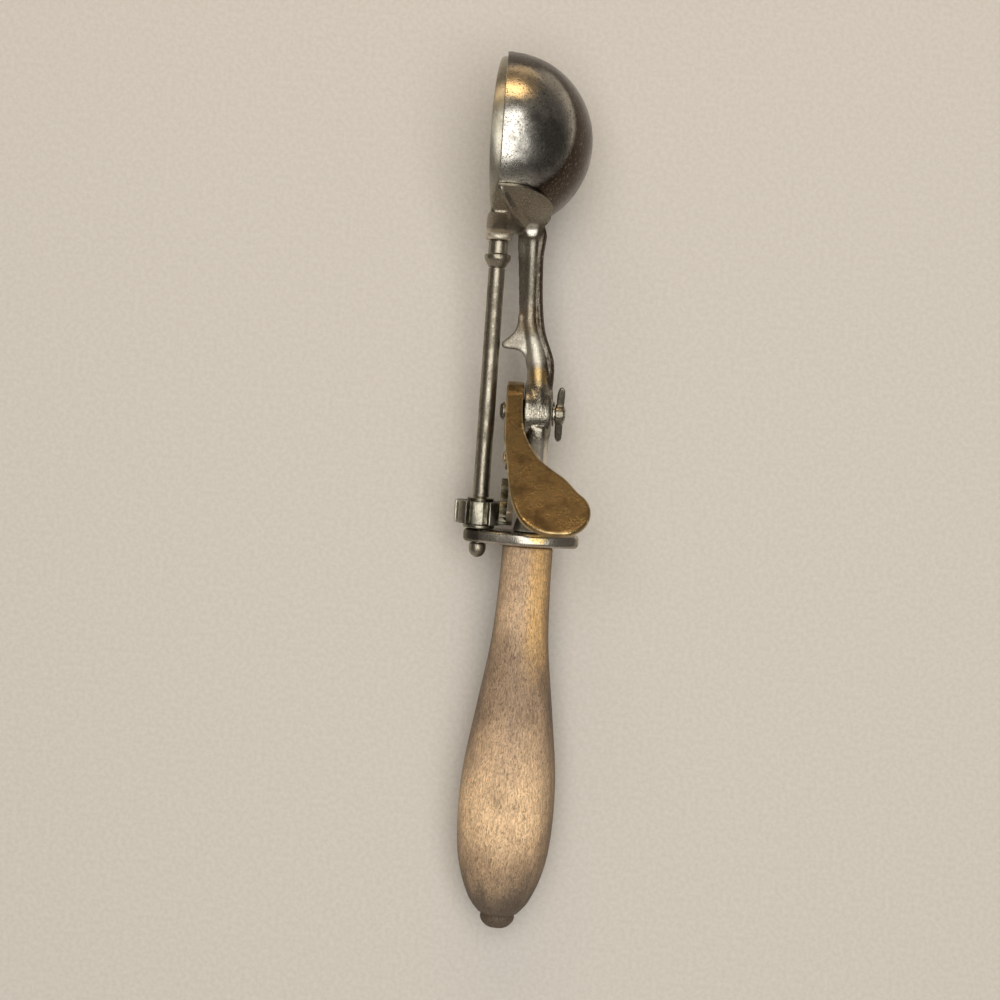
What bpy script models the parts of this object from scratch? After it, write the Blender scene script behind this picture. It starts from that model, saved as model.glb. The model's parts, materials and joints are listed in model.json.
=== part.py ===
"""Ice cream scoop: a thumb-lever disher whose geared scraper sweeps the bowl.

The tool is built in its own frame and then laid on its side on a flat surface.
In the tool's frame the drive rod is the Y axis, with the bowl at +Y and the guard
plate's upper face at Y = 0. X points to the bowl's dome and the handle's axis lies
at +X. Z points to the side where the thumb lever stands when it isn't pressed.
"""

import math

import bmesh
import bpy
from mathutils import Matrix, Vector

MM = 0.001
GAP = 0.3 * MM

# Bowl
BOWL_RADIUS = 27.0 * MM
BOWL_WALL = 1.0 * MM
HEEL_Y = 94.0 * MM
RIM_PROUD = 1.0 * MM

# Scraper blade
BLADE_CLEARANCE = 0.45 * MM
BLADE_THICKNESS = 0.9 * MM
BLADE_HALF_WIDTH = 4.4 * MM
BLADE_END_HALF_WIDTH = 2.7 * MM
BLADE_OVERRUN = 2.6 * MM
TIP_PIN_RADIUS = 0.9 * MM
TIP_HEAD_RADIUS = 1.8 * MM
TIP_HEAD_HEIGHT = 0.4 * MM
RIVET_HEIGHT = 0.6 * MM
RIVET_LIP = 0.7 * MM

# Drive rod and what it carries
ROD_RADIUS = 2.6 * MM
JOURNAL_RADIUS = 1.9 * MM
HEEL_PIN_RADIUS = 1.3 * MM
COLLAR_LENGTH = 8.6 * MM
COLLAR_TAPER = 2.7 * MM
COLLAR_RING_WIDTH = 1.4 * MM
COLLAR_RADIUS = 4.15 * MM
NECK_RADIUS = 2.9 * MM
BARREL_RADIUS = 4.1 * MM
BARREL_LENGTH = 1.9 * MM
FINIAL_RADIUS = 2.7 * MM
FINIAL_LENGTH = 4.6 * MM
THREAD_RADIUS = 1.6 * MM
WASHER_RADIUS = 5.0 * MM
WASHER_THICKNESS = 1.05 * MM

# Gears
PINION_TEETH = 9
SECTOR_FULL_TEETH = 42
SECTOR_CUT_TEETH = 8
FIRST_TOOTH = -1
MESH_RADIUS = 32.3 * MM
GEAR_FACE = 7.1 * MM
PINION_ADDENDUM = 1.1 * MM
PINION_SLOT = 2.0 * MM
PINION_PHASE = math.radians(6.3)
SECTOR_ADDENDUM = 0.8 * MM
ROOT_CLEARANCE = 0.35 * MM
PINION_HUB_RADIUS = 4.2 * MM
PINION_HUB_HEIGHT = 0.95 * MM
SECTOR_TOOTH_SECTIONS = (
    (31.6 * MM, 0.50 * MM, 0.56 * MM),
    (33.3 * MM, 0.95 * MM, 1.04 * MM),
    (35.7 * MM, 0.84 * MM, 1.50 * MM),
)
SECTOR_BACK_X = 10.3 * MM
SECTOR_WEB = 1.4 * MM

# Lever
SCRAPER_SWEEP = math.radians(180.0)
PRESSED_ANGLE = math.radians(4.0)
DRUM_RADIUS = 9.4 * MM
DRUM_NEAR_X = 5.8 * MM
DRUM_FAR_X = 11.2 * MM
DRUM_BASE = 1.5 * MM
DRUM_RECESS_RADIUS = 6.9 * MM
THUMB_PLATE = 2.2 * MM
THUMB_RADIUS = 8.9 * MM
THUMB_CENTRE_X = 24.0 * MM
THUMB_REACH = 46.0 * MM
LEVER_RIB_X = 6.9 * MM
LEVER_RIB = 1.7 * MM
RIVET_RADIUS = 1.2 * MM
RIVET_HEAD_RADIUS = 2.1 * MM
RIVET_REACHES = (14.0 * MM, 22.0 * MM)
RIVET_RISE = 3.0 * MM

# Return spring in the drum
SPRING_WIRE = 0.8 * MM
SPRING_INNER_RADIUS = 4.25 * MM
SPRING_PITCH = 1.3 * MM
SPRING_TURNS = 1.4
SPRING_POINTS = 36
SPRING_PIN_RADIUS = 0.6 * MM

# Pivot
SCREW_RADIUS = 2.0 * MM
SCREW_HEAD_RADIUS = 2.85 * MM
SCREW_HEAD_HEIGHT = 1.5 * MM
SPIGOT_RADIUS = 3.5 * MM
BOSS_FAR_X = 20.3 * MM
NUT_WASHER = 0.5 * MM
NUT_HEIGHT = 2.9 * MM
NUT_RADIUS = 3.1 * MM
WING_REACH = 9.0 * MM
WING_THICKNESS = 1.5 * MM
WING_TURN = math.radians(20.0)

# Shank
SPINE = 3.2 * MM
RIB_DEPTH = 7.2 * MM
RIB_END_DEPTH = 10.6 * MM
RIB_END_RADIUS = 2.3 * MM
BOSS_TAPER = 1.6 * MM
FLANGE_DEPTH = 10.0 * MM
FLANGE_THICKNESS = 1.8 * MM
LOWER_WEB_DEPTH = 8.4 * MM
SADDLE_WALL = 1.5 * MM
SADDLE_PROUD = 3.0 * MM
SADDLE_TILT = math.radians(-16.0)
SADDLE_PLANE = 16.4 * MM
SADDLE_FRONT_TILT = math.radians(-13.7)

# Guard plate
GUARD_THICKNESS = 4.2 * MM
GUARD_NOSE_RADIUS = 4.7 * MM
GUARD_HALF_DEPTH = 9.2 * MM
GUARD_FAR_X = 31.7 * MM
GUARD_EDGE = 1.1 * MM

# Handle and tang
HANDLE_X = 15.4 * MM
HANDLE_MAX_RADIUS = 15.2 * MM
HANDLE_MAX_Y = -87.0 * MM
HANDLE_END_Y = -121.9 * MM
BUTTON_RADIUS = 5.5 * MM
BUTTON_LENGTH = 4.4 * MM
TANG_RADIUS = 2.0 * MM
TANG_END_Y = -106.0 * MM
TANG_TOP_Y = 7.0 * MM

# Values that follow from the sizes above
BOWL_CENTRE_Y = HEEL_Y + BOWL_RADIUS
BARREL_TOP_Y = HEEL_Y - GAP - SADDLE_WALL
BARREL_END_Y = BARREL_TOP_Y - BARREL_LENGTH
COLLAR_START_Y = BARREL_END_Y - COLLAR_LENGTH
COLLAR_RING_Y = COLLAR_START_Y + COLLAR_TAPER
GEAR_RATIO = SECTOR_FULL_TEETH / PINION_TEETH
PIVOT_Y = MESH_RADIUS + WASHER_THICKNESS + 2 * GAP + GEAR_FACE / 2
PINION_Y = PIVOT_Y - MESH_RADIUS
PINION_PITCH_RADIUS = MESH_RADIUS / GEAR_RATIO
PINION_TOP_Y = PINION_Y + GEAR_FACE / 2 + PINION_HUB_HEIGHT
LEVER_TRAVEL = SCRAPER_SWEEP / GEAR_RATIO
REST_ANGLE = LEVER_TRAVEL + PRESSED_ANGLE
BLADE_OUTER = BOWL_RADIUS - BOWL_WALL - BLADE_CLEARANCE
BLADE_INNER = BLADE_OUTER - BLADE_THICKNESS
SADDLE_OUTER = BOWL_RADIUS + GAP + SADDLE_WALL
SECTOR_ROOT_X = PINION_PITCH_RADIUS + PINION_ADDENDUM + ROOT_CLEARANCE
SECTOR_TIP_X = PINION_PITCH_RADIUS - SECTOR_ADDENDUM
TOOTH_STEP = 2 * math.pi / SECTOR_FULL_TEETH

TO_Y = Matrix.Rotation(-math.pi / 2, 4, "X")
TO_X = Matrix.Rotation(math.pi / 2, 4, "Y")
FLAT_ON_Y = Matrix.Rotation(math.pi / 2, 4, "X")
FLAT_ON_X = Matrix(((0, 0, 1, 0), (1, 0, 0, 0), (0, 1, 0, 0), (0, 0, 0, 1)))

MATERIALS = {
    "nickel": ((0.56, 0.53, 0.49), 0.32, 1.0),
    "dark_nickel": ((0.30, 0.28, 0.25), 0.36, 1.0),
    "steel": ((0.42, 0.41, 0.40), 0.38, 1.0),
    "brass": ((0.36, 0.21, 0.07), 0.42, 1.0),
    "iron": ((0.20, 0.18, 0.17), 0.60, 1.0),
    "wood": ((0.36, 0.25, 0.16), 0.65, 0.0),
}


def clear_scene():
    """Remove what the file opened with."""
    for item in list(bpy.data.objects):
        bpy.data.objects.remove(item, do_unlink=True)


def make_collection(name):
    """Add a collection to the scene."""
    collection = bpy.data.collections.new(name)
    bpy.context.scene.collection.children.link(collection)
    return collection


def make_material(name):
    """A Principled material in the named finish."""
    colour, roughness, metallic = MATERIALS[name]
    material = bpy.data.materials.new(name)
    material.use_nodes = True
    shader = material.node_tree.nodes["Principled BSDF"]
    shader.inputs["Base Color"].default_value = (*colour, 1.0)
    shader.inputs["Roughness"].default_value = roughness
    shader.inputs["Metallic"].default_value = metallic
    material.diffuse_color = (*colour, 1.0)
    return material


def make_empty(name, parent=None, location=(0, 0, 0)):
    """An empty that carries pieces."""
    empty = bpy.data.objects.new(name, None)
    empty.empty_display_size = 10 * MM
    empty.location = location
    empty.parent = parent
    PARTS.objects.link(empty)
    return empty


def place(name, mesh, parent, matrix):
    """Put a mesh in the scene under its parent."""
    item = bpy.data.objects.new(name, mesh)
    item.parent = parent
    item.matrix_basis = matrix
    PARTS.objects.link(item)
    return item


def as_tool(item):
    """Move a shape that cuts or joins another to the cutters' collection."""
    PARTS.objects.unlink(item)
    CUTTERS.objects.link(item)
    item.hide_render = True
    item.display_type = "WIRE"
    return item


def finish(item, material, smooth=35.0):
    """Give a piece its material and its smooth faces."""
    item.data.materials.append(make_material(material))
    item.data.shade_smooth()
    item.data.set_sharp_from_angle(angle=math.radians(smooth))
    return item


def boolean(item, tool, operation):
    """Join to, or cut from, a piece."""
    modifier = item.modifiers.new(f"{operation.lower()} {tool.name}", "BOOLEAN")
    modifier.operation = operation
    modifier.object = as_tool(tool)
    return item


def join(item, tool):
    return boolean(item, tool, "UNION")


def cut(item, tool):
    return boolean(item, tool, "DIFFERENCE")


def round_edges(item, width, segments=2):
    """Round a piece's sharp edges."""
    modifier = item.modifiers.new("rounded edges", "BEVEL")
    modifier.width = width
    modifier.segments = segments
    modifier.limit_method = "ANGLE"
    modifier.angle_limit = math.radians(50.0)
    return item


def turned(name, profile, parent, matrix, steps, closed=False):
    """A turned piece. The profile is (radius, station) pairs that run down the outer side."""
    mesh = bpy.data.meshes.new(name)
    points = [(radius, 0.0, station) for radius, station in profile]
    edges = [(i, i + 1) for i in range(len(points) - 1)]
    if closed:
        edges.append((len(points) - 1, 0))
    mesh.from_pydata(points, edges, [])
    item = place(name, mesh, parent, matrix)
    screw = item.modifiers.new("turned", "SCREW")
    screw.axis = "Z"
    screw.steps = steps
    screw.render_steps = steps
    screw.use_merge_vertices = True
    screw.merge_threshold = 0.01 * MM
    screw.use_smooth_shade = True
    return item


def rod_shape(name, radius, low, high, parent, matrix, steps=20):
    """A plain cylinder between two stations."""
    profile = [(0, high), (radius, high), (radius, low), (0, low)]
    return turned(name, profile, parent, matrix, steps)


def ball(name, radius, parent, matrix, steps=48):
    """A turned ball."""
    half = steps // 2
    profile = [(radius * math.sin(math.pi * i / half), radius * math.cos(math.pi * i / half)) for i in range(half + 1)]
    profile[0] = (0.0, radius)
    profile[-1] = (0.0, -radius)
    return turned(name, profile, parent, matrix, steps)


def plate(name, outline, thickness, parent, matrix, smooth=0):
    """A flat outline with a thickness. With smooth, the outline's points are joined by curves."""
    curve = bpy.data.curves.new(name, "CURVE")
    curve.dimensions = "2D"
    curve.fill_mode = "BOTH"
    curve.extrude = thickness / 2
    if smooth:
        spline = curve.splines.new("BEZIER")
        spline.bezier_points.add(len(outline) - 1)
        for knot, point in zip(spline.bezier_points, outline):
            knot.co = (point[0], point[1], 0.0)
            corner = len(point) > 2
            knot.handle_left_type = "VECTOR" if corner else "AUTO"
            knot.handle_right_type = "VECTOR" if corner else "AUTO"
        curve.resolution_u = smooth
    else:
        spline = curve.splines.new("POLY")
        spline.points.add(len(outline) - 1)
        for knot, point in zip(spline.points, outline):
            knot.co = (point[0], point[1], 0.0, 1.0)
    spline.use_cyclic_u = True
    return solid_from_curve(name, curve, parent, matrix)


def solid_from_curve(name, curve, parent, matrix):
    """Turn a curve into one closed mesh."""
    source = bpy.data.objects.new(name, curve)
    PARTS.objects.link(source)
    bpy.context.view_layer.update()
    depsgraph = bpy.context.evaluated_depsgraph_get()
    mesh = bpy.data.meshes.new_from_object(source.evaluated_get(depsgraph))
    bpy.data.objects.remove(source, do_unlink=True)
    work = bmesh.new()
    work.from_mesh(mesh)
    bmesh.ops.remove_doubles(work, verts=work.verts, dist=0.005 * MM)
    bmesh.ops.recalc_face_normals(work, faces=work.faces)
    work.to_mesh(mesh)
    work.free()
    mesh.name = name
    return place(name, mesh, parent, matrix)


def loft(name, sections, parent, matrix):
    """A solid through rings of points, all with the same number of points."""
    work = bmesh.new()
    add_loft(work, sections)
    mesh = bpy.data.meshes.new(name)
    work.to_mesh(mesh)
    work.free()
    return place(name, mesh, parent, matrix)


def add_loft(work, sections):
    """Skin one stack of rings and cap its ends."""
    rings = [[work.verts.new(point) for point in section] for section in sections]
    count = len(rings[0])
    faces = []
    for lower, upper in zip(rings, rings[1:]):
        for i in range(count):
            j = (i + 1) % count
            faces.append(work.faces.new((lower[i], lower[j], upper[j], upper[i])))
    faces.append(work.faces.new(rings[0]))
    faces.append(work.faces.new(rings[-1]))
    bmesh.ops.recalc_face_normals(work, faces=faces)


def ellipse_ring(centre_x, station_y, radius_x, radius_z, count=24):
    """A ring of points round the tool's Y direction."""
    angles = [2 * math.pi * i / count for i in range(count)]
    return [(centre_x + radius_x * math.cos(a), station_y, radius_z * math.sin(a)) for a in angles]


def arc(centre, radius, start, end, count):
    """Points along an arc, angles in degrees."""
    steps = [math.radians(start + (end - start) * i / count) for i in range(count + 1)]
    return [(centre[0] + radius * math.cos(a), centre[1] + radius * math.sin(a)) for a in steps]


def smooth_profile(stations, parts=2):
    """A smooth row of (radius, station) points through the given ones."""
    rows = [stations[0], *stations, stations[-1]]
    points = []
    for before, start, end, after in zip(rows, rows[1:], rows[2:], rows[3:]):
        for k in range(parts):
            t = k / parts
            points.append(tuple(
                0.5 * (2 * b + (c - a) * t + (2 * a - 5 * b + 4 * c - d) * t * t + (3 * b - a - 3 * c + d) * t ** 3)
                for a, b, c, d in zip(before, start, end, after)))
    points.append(stations[-1])
    return points


def at(x=0.0, y=0.0, z=0.0):
    return Matrix.Translation((x, y, z))


def make_bowl(frame):
    """The spun hemisphere, with a hole at the tip and one at the heel on the scraper's axis."""
    inner = BOWL_RADIUS - BOWL_WALL
    arcs = 11
    profile = []
    for radius, order in ((BOWL_RADIUS, range(arcs + 1)), (inner, range(arcs, -1, -1))):
        edge = math.acos(-RIM_PROUD / radius)
        profile += [(radius * math.sin(edge * i / arcs), radius * math.cos(edge * i / arcs)) for i in order]
    bowl = turned("bowl", profile, frame, at(y=BOWL_CENTRE_Y) @ TO_X, 44)
    tip = BOWL_CENTRE_Y + BOWL_RADIUS
    cut(bowl, rod_shape("bowl tip hole", TIP_PIN_RADIUS + GAP, BOWL_CENTRE_Y, tip + GAP, frame, TO_Y, 16))
    heel = HEEL_Y - GAP
    cut(bowl, rod_shape("bowl heel hole", HEEL_PIN_RADIUS + GAP, heel, BOWL_CENTRE_Y, frame, TO_Y, 16))
    finish(bowl, "nickel")


def make_tip_pin(frame):
    """The rivet that carries the blade's far end."""
    outside = BOWL_CENTRE_Y + BOWL_RADIUS + GAP
    inside = BOWL_CENTRE_Y + BLADE_INNER - GAP
    profile = [
        (0, outside + TIP_HEAD_HEIGHT),
        (TIP_HEAD_RADIUS * 0.6, outside + TIP_HEAD_HEIGHT),
        (TIP_HEAD_RADIUS, outside + TIP_HEAD_HEIGHT / 2),
        (TIP_HEAD_RADIUS, outside),
        (TIP_PIN_RADIUS, outside),
        (TIP_PIN_RADIUS, inside),
        (TIP_PIN_RADIUS + RIVET_LIP, inside),
        (TIP_PIN_RADIUS + RIVET_LIP, inside - RIVET_HEIGHT),
        (0, inside - RIVET_HEIGHT),
    ]
    finish(turned("tip_pin", profile, frame, TO_Y, 16), "nickel")


def make_scraper_blade(axis):
    """The half ring that follows the bowl's inside, narrower towards its pivots."""
    band = BLADE_HALF_WIDTH * 1.06
    across = 4
    profile = []
    for radius, order in ((BLADE_OUTER, range(across + 1)), (BLADE_INNER, range(across, -1, -1))):
        for i in order:
            station = band - 2 * band * i / across
            profile.append((math.sqrt(radius ** 2 - station ** 2), station))
    blade = turned("scraper_blade", profile, axis, at(y=BOWL_CENTRE_Y) @ TO_X, 56, closed=True)
    narrowing = math.sqrt(1 - (BLADE_END_HALF_WIDTH / BLADE_HALF_WIDTH) ** 2)
    half_length = BLADE_OUTER / narrowing
    outline = []
    for i in range(48):
        angle = 2 * math.pi * i / 48
        outline.append((BLADE_HALF_WIDTH * math.cos(angle), half_length * math.sin(angle)))
    depth = BOWL_RADIUS + BLADE_OVERRUN
    shape = plate("blade outline", outline, depth, axis, at(y=BOWL_CENTRE_Y, z=depth / 2 - BLADE_OVERRUN))
    boolean(blade, shape, "INTERSECT")
    tip = BOWL_CENTRE_Y + BOWL_RADIUS
    cut(blade, rod_shape("blade tip hole", TIP_PIN_RADIUS + GAP, BOWL_CENTRE_Y, tip, axis, TO_Y, 16))
    cut(blade, rod_shape("blade heel hole", HEEL_PIN_RADIUS + GAP, HEEL_Y, BOWL_CENTRE_Y, axis, TO_Y, 16))
    finish(blade, "nickel")


def make_drive_rod(axis):
    """The long rod, stepped down at both ends, with its riveted head inside the blade."""
    head = BOWL_CENTRE_Y - BLADE_INNER + GAP
    step = BARREL_TOP_Y - GAP
    finial_end = -GUARD_THICKNESS - FINIAL_LENGTH / 2
    rivet = HEEL_PIN_RADIUS + RIVET_LIP
    profile = [
        (0, head + RIVET_HEIGHT),
        (rivet, head + RIVET_HEIGHT),
        (rivet, head),
        (HEEL_PIN_RADIUS, head),
        (HEEL_PIN_RADIUS, step),
        (JOURNAL_RADIUS, step),
        (JOURNAL_RADIUS, COLLAR_START_Y),
        (ROD_RADIUS, COLLAR_START_Y),
        (ROD_RADIUS, PINION_TOP_Y + GAP),
        (JOURNAL_RADIUS, PINION_TOP_Y + GAP),
        (JOURNAL_RADIUS, -GUARD_THICKNESS),
        (THREAD_RADIUS, -GUARD_THICKNESS),
        (THREAD_RADIUS, finial_end),
        (0, finial_end),
    ]
    finish(turned("drive_rod", profile, axis, TO_Y, 20), "dark_nickel")


def make_rod_collar(axis):
    """The collar under the upper bearing: a taper, a ring and a neck."""
    bore = JOURNAL_RADIUS + GAP
    low = COLLAR_START_Y + GAP
    high = BARREL_END_Y - GAP
    ring_top = COLLAR_RING_Y + COLLAR_RING_WIDTH
    profile = [
        (bore, high),
        (NECK_RADIUS - 0.2 * MM, high),
        (NECK_RADIUS, high - 0.2 * MM),
        (NECK_RADIUS, ring_top + 0.3 * MM),
        (COLLAR_RADIUS - 0.3 * MM, ring_top),
        (COLLAR_RADIUS, ring_top - 0.3 * MM),
        (COLLAR_RADIUS, COLLAR_RING_Y),
        (ROD_RADIUS, low),
        (bore, low),
    ]
    finish(turned("rod_collar", profile, axis, TO_Y, 20, closed=True), "dark_nickel")


def pinion_outline():
    """The pinion's outline: wide teeth with a straight-sided slot between each two."""
    root = SECTOR_TIP_X - 1.6 * ROOT_CLEARANCE
    tip = PINION_PITCH_RADIUS + PINION_ADDENDUM
    pitch = 2 * math.pi / PINION_TEETH
    slot_root = math.asin(PINION_SLOT / 2 / root)
    slot_tip = math.asin(PINION_SLOT / 2 / tip)
    land = pitch - 2 * slot_tip
    outline = []
    for tooth in range(PINION_TEETH):
        slot = pitch * tooth - PINION_PHASE
        outline += [(root, slot - slot_root), (root, slot + slot_root)]
        outline += [(tip, slot + slot_tip + land * i / 4) for i in range(5)]
    return [(r * math.cos(a), r * math.sin(a)) for r, a in outline]


def make_pinion(axis):
    """The pinion with its hub on top."""
    pinion = plate("pinion", pinion_outline(), GEAR_FACE, axis, at(y=PINION_Y) @ FLAT_ON_Y)
    low = PINION_Y
    join(pinion, rod_shape("pinion hub", PINION_HUB_RADIUS, low, PINION_TOP_Y, axis, TO_Y, 24))
    bore = JOURNAL_RADIUS + GAP
    cut(pinion, rod_shape("pinion bore", bore, -GEAR_FACE, PINION_TOP_Y + GAP, axis, TO_Y, 24))
    finish(pinion, "steel")


def make_thrust_washer(axis):
    """The washer between the pinion and the guard plate."""
    bore = JOURNAL_RADIUS + GAP
    high = GAP + WASHER_THICKNESS
    profile = [(bore, high), (WASHER_RADIUS, high), (WASHER_RADIUS, GAP), (bore, GAP)]
    finish(turned("thrust_washer", profile, axis, TO_Y, 24, closed=True), "steel")


def make_finial(axis):
    """The bullet-shaped nut under the guard plate."""
    top = -GUARD_THICKNESS - GAP
    bore = THREAD_RADIUS + GAP
    bore_end = -GUARD_THICKNESS - FINIAL_LENGTH / 2 - GAP
    end = top - FINIAL_LENGTH
    shoulder = top - FINIAL_LENGTH / 3
    nose = [(FINIAL_RADIUS * math.cos(a), shoulder - (shoulder - end) * math.sin(a))
            for a in (math.radians(15 * i) for i in range(1, 6))]
    profile = [(0, bore_end), (bore, bore_end), (bore, top), (FINIAL_RADIUS - 0.4 * MM, top)]
    profile += [(FINIAL_RADIUS, top - 0.5 * MM), (FINIAL_RADIUS, shoulder), *nose, (0, end)]
    finish(turned("finial", profile, axis, TO_Y, 16), "dark_nickel")


def back_edge():
    """The shank's outer edge, from the bowl down to the foot."""
    return [
        (14.9 * MM, 92.0 * MM),
        (15.0 * MM, 80.0 * MM),
        (15.0 * MM, 67.0 * MM),
        (16.6 * MM, 61.0 * MM),
        (19.0 * MM, 56.0 * MM),
        (19.9 * MM, 50.0 * MM),
        (BOSS_FAR_X - 0.9 * MM, PIVOT_Y + 5.0 * MM),
        (BOSS_FAR_X - 0.9 * MM, PIVOT_Y - 5.0 * MM),
        (19.6 * MM, 22.0 * MM),
        (19.5 * MM, 10.0 * MM),
        (20.0 * MM, 2.5 * MM),
    ]


def horn_edge():
    """The shank's edge towards the rod, from the boss up past the horn to the bowl."""
    boss = DRUM_FAR_X + GAP
    return [
        (12.4 * MM, 8.0 * MM),
        (12.4 * MM, 24.0 * MM),
        (boss + 0.4 * MM, PIVOT_Y - DRUM_RADIUS),
        (boss + 0.2 * MM, PIVOT_Y + DRUM_RADIUS),
        (12.0 * MM, 51.0 * MM),
        (11.4 * MM, 54.0 * MM),
        (9.4 * MM, 56.8 * MM),
        (6.8 * MM, 57.8 * MM),
        (4.4 * MM, 57.9 * MM),
        (3.5 * MM, 58.7 * MM),
        (4.4 * MM, 59.6 * MM),
        (6.6 * MM, 61.2 * MM),
        (7.5 * MM, 64.5 * MM),
        (6.8 * MM, 69.0 * MM),
        (6.4 * MM, 78.0 * MM),
        (6.6 * MM, 92.0 * MM),
    ]


def rib_outline():
    """The raised rib on the shank's face, round at the bowl's end."""
    right = [
        (13.5 * MM, 80.0 * MM),
        (12.9 * MM, 70.0 * MM),
        (13.4 * MM, 65.0 * MM),
        (15.6 * MM, 60.0 * MM),
        (18.0 * MM, 55.0 * MM),
        (18.6 * MM, PIVOT_Y + 6.0 * MM, "corner"),
    ]
    left = [
        (12.6 * MM, PIVOT_Y + 6.0 * MM, "corner"),
        (12.8 * MM, 53.0 * MM),
        (11.2 * MM, 57.0 * MM),
        (9.0 * MM, 59.6 * MM),
        (8.6 * MM, 63.0 * MM),
        (9.6 * MM, 68.0 * MM),
        (9.9 * MM, 80.0 * MM),
    ]
    return right + left + arc(rib_end(), RIB_END_RADIUS, 180, 0, 6)


def rib_end():
    """The middle of the rib's round end."""
    return 11.2 * MM, HEEL_Y - 2.8 * MM


def make_saddle(frame):
    """The cup round the bowl's heel with the neck that runs down from it."""
    saddle = ball("saddle", SADDLE_OUTER, frame, at(y=BOWL_CENTRE_Y) @ TO_Y, 44)
    heel = HEEL_Y
    sections = [
        ellipse_ring(11.4 * MM, heel - 11.0 * MM, 3.2 * MM, 2.4 * MM),
        ellipse_ring(11.4 * MM, heel - 6.0 * MM, 3.4 * MM, 2.6 * MM),
        ellipse_ring(11.3 * MM, heel - 3.0 * MM, 3.8 * MM, 3.4 * MM),
        ellipse_ring(11.1 * MM, heel - 0.6 * MM, 4.4 * MM, 5.2 * MM),
        ellipse_ring(10.4 * MM, heel + 2.5 * MM, 5.6 * MM, 9.2 * MM),
        ellipse_ring(9.4 * MM, heel + 6.0 * MM, 7.4 * MM, 14.4 * MM),
        ellipse_ring(8.4 * MM, heel + 9.5 * MM, 9.0 * MM, 18.8 * MM),
    ]
    join(saddle, loft("neck", sections, frame, Matrix.Identity(4)))
    size = 2.4 * SADDLE_OUTER
    bpy.ops.mesh.primitive_cube_add(size=size)
    upper = adopt(bpy.context.object, "above the saddle", frame)
    turn = Matrix.Rotation(SADDLE_TILT, 4, "Z")
    upper.matrix_basis = at(y=BOWL_CENTRE_Y) @ turn @ at(y=size / 2 - SADDLE_PLANE)
    cut(saddle, upper)
    bpy.ops.mesh.primitive_cube_add(size=size)
    front = adopt(bpy.context.object, "before the saddle", frame)
    lean = Matrix.Rotation(SADDLE_FRONT_TILT, 4, "Z")
    front.matrix_basis = at(y=heel + 3.0 * MM) @ lean @ at(x=-SADDLE_PROUD - size / 2)
    cut(saddle, front)
    return saddle


def adopt(item, name, parent):
    """Bring a primitive under the tool's frame."""
    for collection in list(item.users_collection):
        collection.objects.unlink(item)
    PARTS.objects.link(item)
    item.name = name
    item.parent = parent
    return item


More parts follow.
